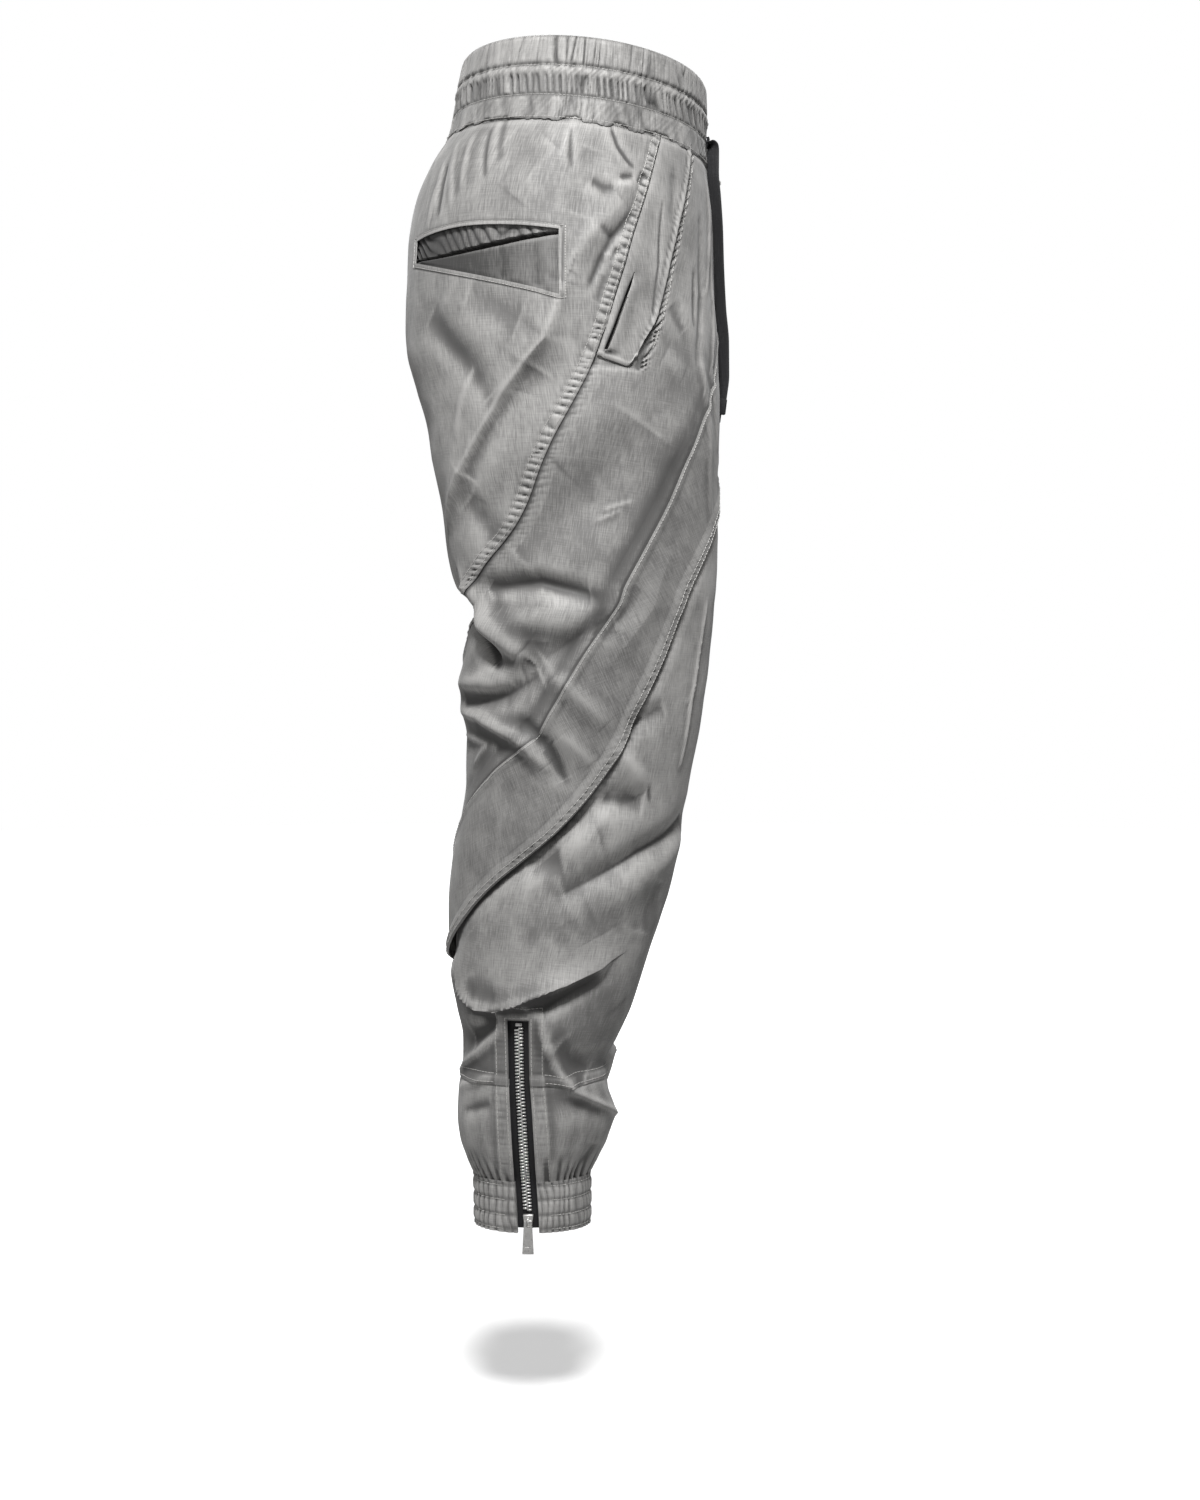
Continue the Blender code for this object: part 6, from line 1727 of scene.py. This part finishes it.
def cord_route(sign, count):
    """Points of a hanging end on a smooth curve through its route."""
    x = np.array([sign * (CORD_X + p.sideways * MM) for p in CORD_LINE])
    z = np.array([p.z * MM for p in CORD_LINE])
    before_drop = z - front_point(x, z, 0.0)[:, 1] * FRONT_DROP
    y = front_point(x, before_drop, np.array([p.stand * MM for p in CORD_LINE]))[:, 1]
    route = np.stack((x, y, z), -1)
    steps = np.concatenate(([0], np.cumsum(np.linalg.norm(np.diff(route, axis=0), axis=1))))
    at = steps[-1] * (np.arange(count) / (count - 1)) ** 1.6
    return np.stack([smooth_curve(steps, route[:, axis])(at) for axis in range(3)], -1)


def webbing_axes(points, sign):
    """The directions across the webbing and out of its face at each point, turned by its twist."""
    along = np.gradient(points, axis=0)
    along /= np.linalg.norm(along, axis=1, keepdims=True)
    share = np.linspace(0, 1, len(points))
    sway = 9 * np.sin(share * 7 + (0.6 if sign < 0 else 2.1))
    twist = np.radians(CORD_TWIST * smoothstep(share / 0.16) + sway)
    sideways = np.stack((np.cos(twist) * sign, -np.sin(twist), np.zeros(len(points))), -1)
    across = sideways - along * (sideways * along).sum(-1, keepdims=True)
    across /= np.linalg.norm(across, axis=1, keepdims=True)
    return along, across, np.cross(across, along) * -sign


class TROUSERS_OT_drawstring(Worker):
    """Makes the two hanging ends of the flat drawstring, their folded tips and the eyelets"""

    bl_idname = "trousers.drawstring"
    bl_label = "Drawstring"

    def make(self, side):
        sign = SIDES[side]
        points = cord_route(sign, 150)
        along, across, out = webbing_axes(points, sign)
        half, thick = trim().cord_width / 2, trim().cord_thickness / 2
        turns = np.linspace(0, 2 * math.pi, 20, endpoint=False)
        lines, uv = [], []
        for turn in turns:
            wide = half * np.sign(math.cos(turn)) * abs(math.cos(turn)) ** 0.45
            high = thick * np.sign(math.sin(turn)) * abs(math.sin(turn)) ** 0.6
            lines.append(points + across * wide + out * high)
            uv.append(np.stack((np.full(len(points), wide), np.linspace(0, 0.22, len(points))), -1))
        webbing = closed_tube(f"{side}_drawstring_webbing", lines, finish_named("black webbing"), uv)
        tip = self.make_tip(side, facing(points[-1], across[-1], -along[-1], out[-1]))
        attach(webbing, "garment")
        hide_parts(f"{side}_drawstring")
        self.make_eyelet(side, Vector(points[0]))

    def make_tip(self, side, place):
        """The end, folded back on itself."""
        layers = [
            flat_block(11.4 * MM, 13 * MM, 1.8 * MM, "layer", 1.0, 0.7 * MM, (0, -6.6 * MM, out * MM), 3)
            for out in (-0.75, 0.75)
        ]
        fold = flat_block(11.4 * MM, 2.6 * MM, 3.3 * MM, "fold", 1.0, 1.2 * MM, (0, -12.4 * MM, 0), 3)
        tip = joined([*layers, fold], f"{side}_drawstring_fold")
        into_place(tip, place, "black cord", "garment", "drawstring", f"{side}_drawstring_tip")
        return tip

    def make_eyelet(self, side, start):
        """A flanged ring pressed through the band."""
        face = Vector((SIDES[side] * 0.28, -0.955, -0.09)).normalized()
        across = Vector((0, 0, 1)).cross(face).normalized()
        flange = flat_ring(4.3 * MM, 1.15 * MM, "flange", (0, 0, 0.7 * MM), 0.75)
        barrel = flat_ring(3.2 * MM, 0.55 * MM, "barrel", (0, 0, 1.25 * MM), 1.1)
        eyelet = joined([flange, barrel], f"{side}_eyelet_ring")
        place = facing(start + face * 0.6 * MM, across, face.cross(across), face)
        into_place(eyelet, place, "dark nickel", "garment", "eyelet_metal", f"{side}_eyelet")


def closed_tube(name, lines, material, uv):
    """A tube whose long lines of points follow one another round it, closed at both ends."""
    points = np.stack(lines)
    around, count = points.shape[:2]
    i, j = np.meshgrid(np.arange(around), np.arange(count - 1), indexing="ij")
    beside = (i + 1) % around
    quads = np.stack((i * count + j, beside * count + j, beside * count + j + 1, i * count + j + 1), -1)
    faces = quads.reshape(-1, 4).tolist()
    faces += [[k * count + end for k in range(around)] for end in (0, count - 1)]
    obj = mesh_from(name, points, faces, material, uv)
    edit_mesh(obj, face_outwards)
    finish_smooth(obj, 50)
    return obj


# ---------------------------------------------------------------- stitching
def stitch_corners(points, outwards, length, gap, width, height):
    """The eight corners of each stitch along a line, as an array of stitches."""
    along = np.concatenate(([0], np.cumsum(np.linalg.norm(np.diff(points, axis=0), axis=1))))
    starts = np.arange(0, along[-1] - length, length + gap)
    heads, tails, out = (
        np.stack([np.interp(at, along, values[:, axis]) for axis in range(3)], -1)
        for at, values in ((starts, points), (starts + length, points), (starts + length / 2, outwards))
    )
    out = out / (np.linalg.norm(out, axis=1, keepdims=True) + 1e-12)
    across = np.cross(tails - heads, out)
    across = across / (np.linalg.norm(across, axis=1, keepdims=True) + 1e-12) * width / 2
    corners = []
    for end in (heads, tails):
        for beside in (-across, across):
            for above in (-0.35, 0.65):
                corners.append(end + beside * (1.0 if above < 0 else 0.7) + out * height * above)
    return np.stack(corners, 1)


STITCH_FACES = ((0, 1, 3, 2), (4, 6, 7, 5), (0, 4, 5, 1), (2, 3, 7, 6), (0, 2, 6, 4), (1, 5, 7, 3))


class Seamstress:
    """Collects rows of stitches and makes them into one piece."""

    def __init__(self):
        self.stitches = []

    def row(self, surface, length=None, gap=None, width=None):
        """A row along a surface, which gives its points for a lift."""
        points = surface(0.15 * MM)
        settings = sewing()
        thread = width or settings.thread
        corners = stitch_corners(points, surface(1.15 * MM) - points, length or settings.stitch,
                                 gap or settings.stitch_gap, thread, 0.9 * thread)
        self.stitches.append(corners)

    def on_panel(self, side, panel, angle, z, lift=0.0, **sizes):
        """A row on a panel through places of its chart, left out where it leaves the leg."""
        angle, z = np.broadcast_arrays(angle, z)
        seen = np.abs(angle) < middle_angle(z) - 1
        if seen.sum() > 4:
            lift = np.broadcast_to(lift, z.shape)[seen]
            self.row(lambda more: cloth_point(side, panel, angle[seen], z[seen], lift + more), **sizes)

    def beside(self, side, panel, sewn, offset, top, foot, lift=0.0, **sizes):
        """A row beside a seam, offset in millimetres in front of it."""
        z = np.arange(top, foot, -1.2) * MM
        self.on_panel(side, panel, sewn.beside(z, offset * MM), z, lift, **sizes)

    def finish(self, name, material):
        corners = np.concatenate(self.stitches)
        faces = (np.arange(len(corners))[:, None, None] * 8 + np.array(STITCH_FACES)).reshape(-1, 4)
        obj = mesh_from(name, corners, faces, finish_named(material))
        edit_mesh(obj, face_outwards)
        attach(obj, "garment")


class TROUSERS_OT_stitching(Worker):
    """Sews the rows of stitches beside the seams, round the pockets, down the middle and at the ankles and
    cuffs
    """

    bl_idname = "trousers.stitching"
    bl_label = "Stitching"

    def make(self, side):
        seams = Seamstress()
        for offset in (2.2, 9.2):
            seams.beside(side, "hip", HIP, -offset, -47, -500)
            seams.beside(side, "sweep", LAPPED, -offset * 0.62, -330, -742)
        seams.beside(side, "sweep", SWEEP, 1.8, -230, -640, length=2.2 * MM)
        seams.beside(side, "side", POCKET, 6.5, -47, -226)
        self.sew_pocket_window(side, seams)
        self.sew_middle(side, seams)
        self.sew_ankle(side, seams)
        seams.finish(f"{side}_stitching", "sewing thread")

    def sew_pocket_window(self, side, seams):
        """A row round the window of the back pocket, and a bar of tight stitches at its front edge."""
        across = np.linspace(-0.03, 1.03, 120)
        for base, beyond in ((WINDOW_TOP, 2.9 * MM), (WINDOW_FOOT, -2.9 * MM)):
            angles, z = window_grid(across, np.full(120, base + beyond))
            seams.on_panel(side, "hip", angles, z)
        base_z = np.linspace(WINDOW_TOP + 3 * MM, WINDOW_FOOT - 3 * MM, 60)
        angles, z = window_grid(np.full(60, 1.035), base_z)
        seams.on_panel(side, "hip", angles, z, length=1.6 * MM, gap=0.7 * MM, width=0.9 * MM)
        angles, z = window_grid(np.full(60, -0.03), base_z)
        seams.on_panel(side, "hip", angles, z)

    def sew_middle(self, side, seams):
        """The row beside the middle seam, down the back and between the fly and the crotch."""
        runs = (("hip", -1, -46, -316), ("sweep", 1, -205, -262), ("leg", 1, -272, -316))
        for panel, front, top, foot in runs:
            z = np.arange(top, foot, -1.2) * MM
            seams.on_panel(side, panel, front * (middle_angle(z) - np.degrees(4.5 * MM / radius_at(z))), z)

    def sew_ankle(self, side, seams):
        """The rows beside the zip's opening, across the ankle seam and along the cuff."""
        for off in (2.0, 10.2):
            for sign in (-1, 1):
                z = np.linspace(ZIP_TOP + off * MM, CUFF_TOP + 1 * MM, 150)
                angles = zip_angle(z) + sign * np.degrees((ZIP_SHOWS / 2 + off * MM) / radius_at(z))
                seams.on_panel(side, "plain", angles, z, placket_lift(angles, z))
            z = np.full(40, ZIP_TOP + off * MM)
            half = np.degrees((ZIP_SHOWS / 2 + off * MM) / radius_at(z))
            angles = zip_angle(z) + half * np.linspace(-1, 1, 40)
            seams.on_panel(side, "leg", angles, z, placket_lift(angles, z))
        share = np.linspace(0.035, 0.965, 420)
        for down in (2.0, 9.0):
            z = np.full(420, ANKLE_SEAM + down * MM)
            angles = cuff_angles(z, share)
            seams.on_panel(side, "leg", angles, z, placket_lift(angles, z) + 0.8 * MM * (down < 9))
        for down in CUFF_STITCHES:
            z = np.full(420, CUFF_TOP + (HEM - CUFF_TOP) * down)
            angles = cuff_angles(z, share)
            seams.on_panel(side, "ankle", angles, z, cuff_lift(side, share, down))


class TROUSERS_OT_band_stitching(bpy.types.Operator):
    """Sews the waistband's rows and the fly"""

    bl_idname = "trousers.band_stitching"
    bl_label = "Waistband stitching"

    def execute(self, _context):
        deselect()
        seams = Seamstress()
        turn = np.linspace(0, 1, 1400)
        for down in (*BAND_STITCHES, 0.985):
            lift = band_lift(turn, down) + 0.6 * MM
            seams.row(lambda more, down=down, lift=lift: band_place(turn, down, lift + more))
        for inset in (0.93, 0.76):
            down = np.linspace(0.02, 0.97, 200)
            seams.row(lambda more, inset=inset: flap_point(down, np.full(200, inset), more))
        seams.row(lambda more: flap_point(np.linspace(0.02, 0.97, 200), np.full(200, 0.06), more))
        seams.finish("band_stitching", "sewing thread")
        return {"FINISHED"}


# ---------------------------------------------------------------- stage
def area_light(name, place, aim, size, power):
    data = bpy.data.lights.new(name, "AREA")
    data.shape = "DISK"
    data.size = size
    data.energy = power
    light = bpy.data.objects.new(name, data)
    bpy.context.scene.collection.objects.link(light)
    light.location = place
    light.rotation_euler = (Vector(aim) - Vector(place)).to_track_quat("-Z", "Y").to_euler()
    return light


def pale_floor():
    """A pale floor that throws little light back up."""
    made, tree, shader = principled("pale floor", Base_Color=(0.8, 0.8, 0.8, 1), Roughness=0.9)
    shader.inputs["Emission Color"].default_value = (1, 1, 1, 1)
    place = add_node(tree, "ShaderNodeTexCoord").outputs["Object"]
    far = add_node(tree, "ShaderNodeVectorMath", {0: place}, operation="LENGTH").outputs["Value"]
    glow = add_node(tree, "ShaderNodeMapRange", {0: far, 1: 0.5, 2: 2.2, 3: 0.42, 4: 1.1},
                    interpolation_type="SMOOTHSTEP")
    tree.links.new(glow.outputs[0], shader.inputs["Emission Strength"])
    seen = add_node(tree, "ShaderNodeLightPath").outputs["Is Camera Ray"]
    dull = add_node(tree, "ShaderNodeBsdfDiffuse", {"Color": (0.3, 0.3, 0.3, 1)})
    mixed = add_node(tree, "ShaderNodeMixShader", {0: seen, 1: dull.outputs[0], 2: shader.outputs[0]})
    tree.links.new(mixed.outputs[0], tree.nodes["Material Output"].inputs["Surface"])
    return made


class TROUSERS_OT_stage(bpy.types.Operator):
    """Makes the pale floor, the soft studio light and the camera"""

    bl_idname = "trousers.stage"
    bl_label = "Stage"

    def execute(self, context):
        deselect()
        sizes = context.scene.trousers_stage
        bpy.ops.mesh.primitive_circle_add(vertices=96, radius=6, fill_type="NGON",
                                          location=(0, 0, sizes.floor_height))
        floor = context.active_object
        floor.name = "floor"
        floor.data.materials.append(pale_floor())
        world = bpy.data.worlds.new("studio")
        world.use_nodes = True
        background = world.node_tree.nodes["Background"]
        background.inputs["Color"].default_value = (1, 1, 1, 1)
        seen = add_node(world.node_tree, "ShaderNodeLightPath").outputs["Is Camera Ray"]
        strength = maths(world.node_tree, "MULTIPLY_ADD", seen, 1 - sizes.ambient, sizes.ambient)
        world.node_tree.links.new(strength, background.inputs["Strength"])
        context.scene.world = world
        aim = (0, 0, -0.4)
        area_light("key", (-1.55, 0.0, 1.52), aim, 0.6, sizes.key_power)
        area_light("far key", (1.6, 0.0, 1.5), aim, 0.8, 0.8 * sizes.key_power)
        area_light("fill", (-1.4, 2.0, 0.5), aim, 1.6, sizes.fill_power)
        data = bpy.data.cameras.new("camera")
        data.lens = sizes.lens
        data.sensor_width = 36
        data.shift_y = -0.0733
        camera = bpy.data.objects.new("camera", data)
        context.scene.collection.objects.link(camera)
        camera.location = (-sizes.camera_distance, 0, sizes.camera_height)
        camera.rotation_euler = (math.radians(90), 0, math.radians(-90))
        context.scene.camera = camera
        context.scene.view_settings.view_transform = "Standard"
        return {"FINISHED"}


GROUPS = (ClothSettings, SewingSettings, TrimSettings, StageSettings)
GROUP_NAMES = ("trousers_cloth", "trousers_sewing", "trousers_trim", "trousers_stage")
OPERATORS = (
    TROUSERS_OT_waistband,
    TROUSERS_OT_back_panels,
    TROUSERS_OT_back_pockets,
    TROUSERS_OT_side_panels,
    TROUSERS_OT_front_pockets,
    TROUSERS_OT_sweep_panels,
    TROUSERS_OT_lower_legs,
    TROUSERS_OT_ankle_panels,
    TROUSERS_OT_cuffs,
    TROUSERS_OT_ankle_zips,
    TROUSERS_OT_fly,
    TROUSERS_OT_drawstring,
    TROUSERS_OT_stitching,
    TROUSERS_OT_band_stitching,
    TROUSERS_OT_stage,
)


class TROUSERS_PT_panel(bpy.types.Panel):
    """Lists the steps in the sidebar"""

    bl_idname = "TROUSERS_PT_panel"
    bl_label = "Trousers"
    bl_space_type = "VIEW_3D"
    bl_region_type = "UI"
    bl_category = "Trousers"

    def draw(self, _context):
        for operator in OPERATORS:
            self.layout.operator(operator.bl_idname)


def register():
    for kind in (*GROUPS, *OPERATORS, TROUSERS_PT_panel):
        bpy.utils.register_class(kind)
    for name, kind in zip(GROUP_NAMES, GROUPS):
        setattr(bpy.types.Scene, name, PointerProperty(type=kind))


def unregister():
    for name in GROUP_NAMES:
        delattr(bpy.types.Scene, name)
    for kind in reversed((*GROUPS, *OPERATORS, TROUSERS_PT_panel)):
        bpy.utils.unregister_class(kind)


def main():
    register()
    for operator in OPERATORS:
        group, name = operator.bl_idname.split(".")
        getattr(getattr(bpy.ops, group), name)()


if __name__ == "__main__":
    main()
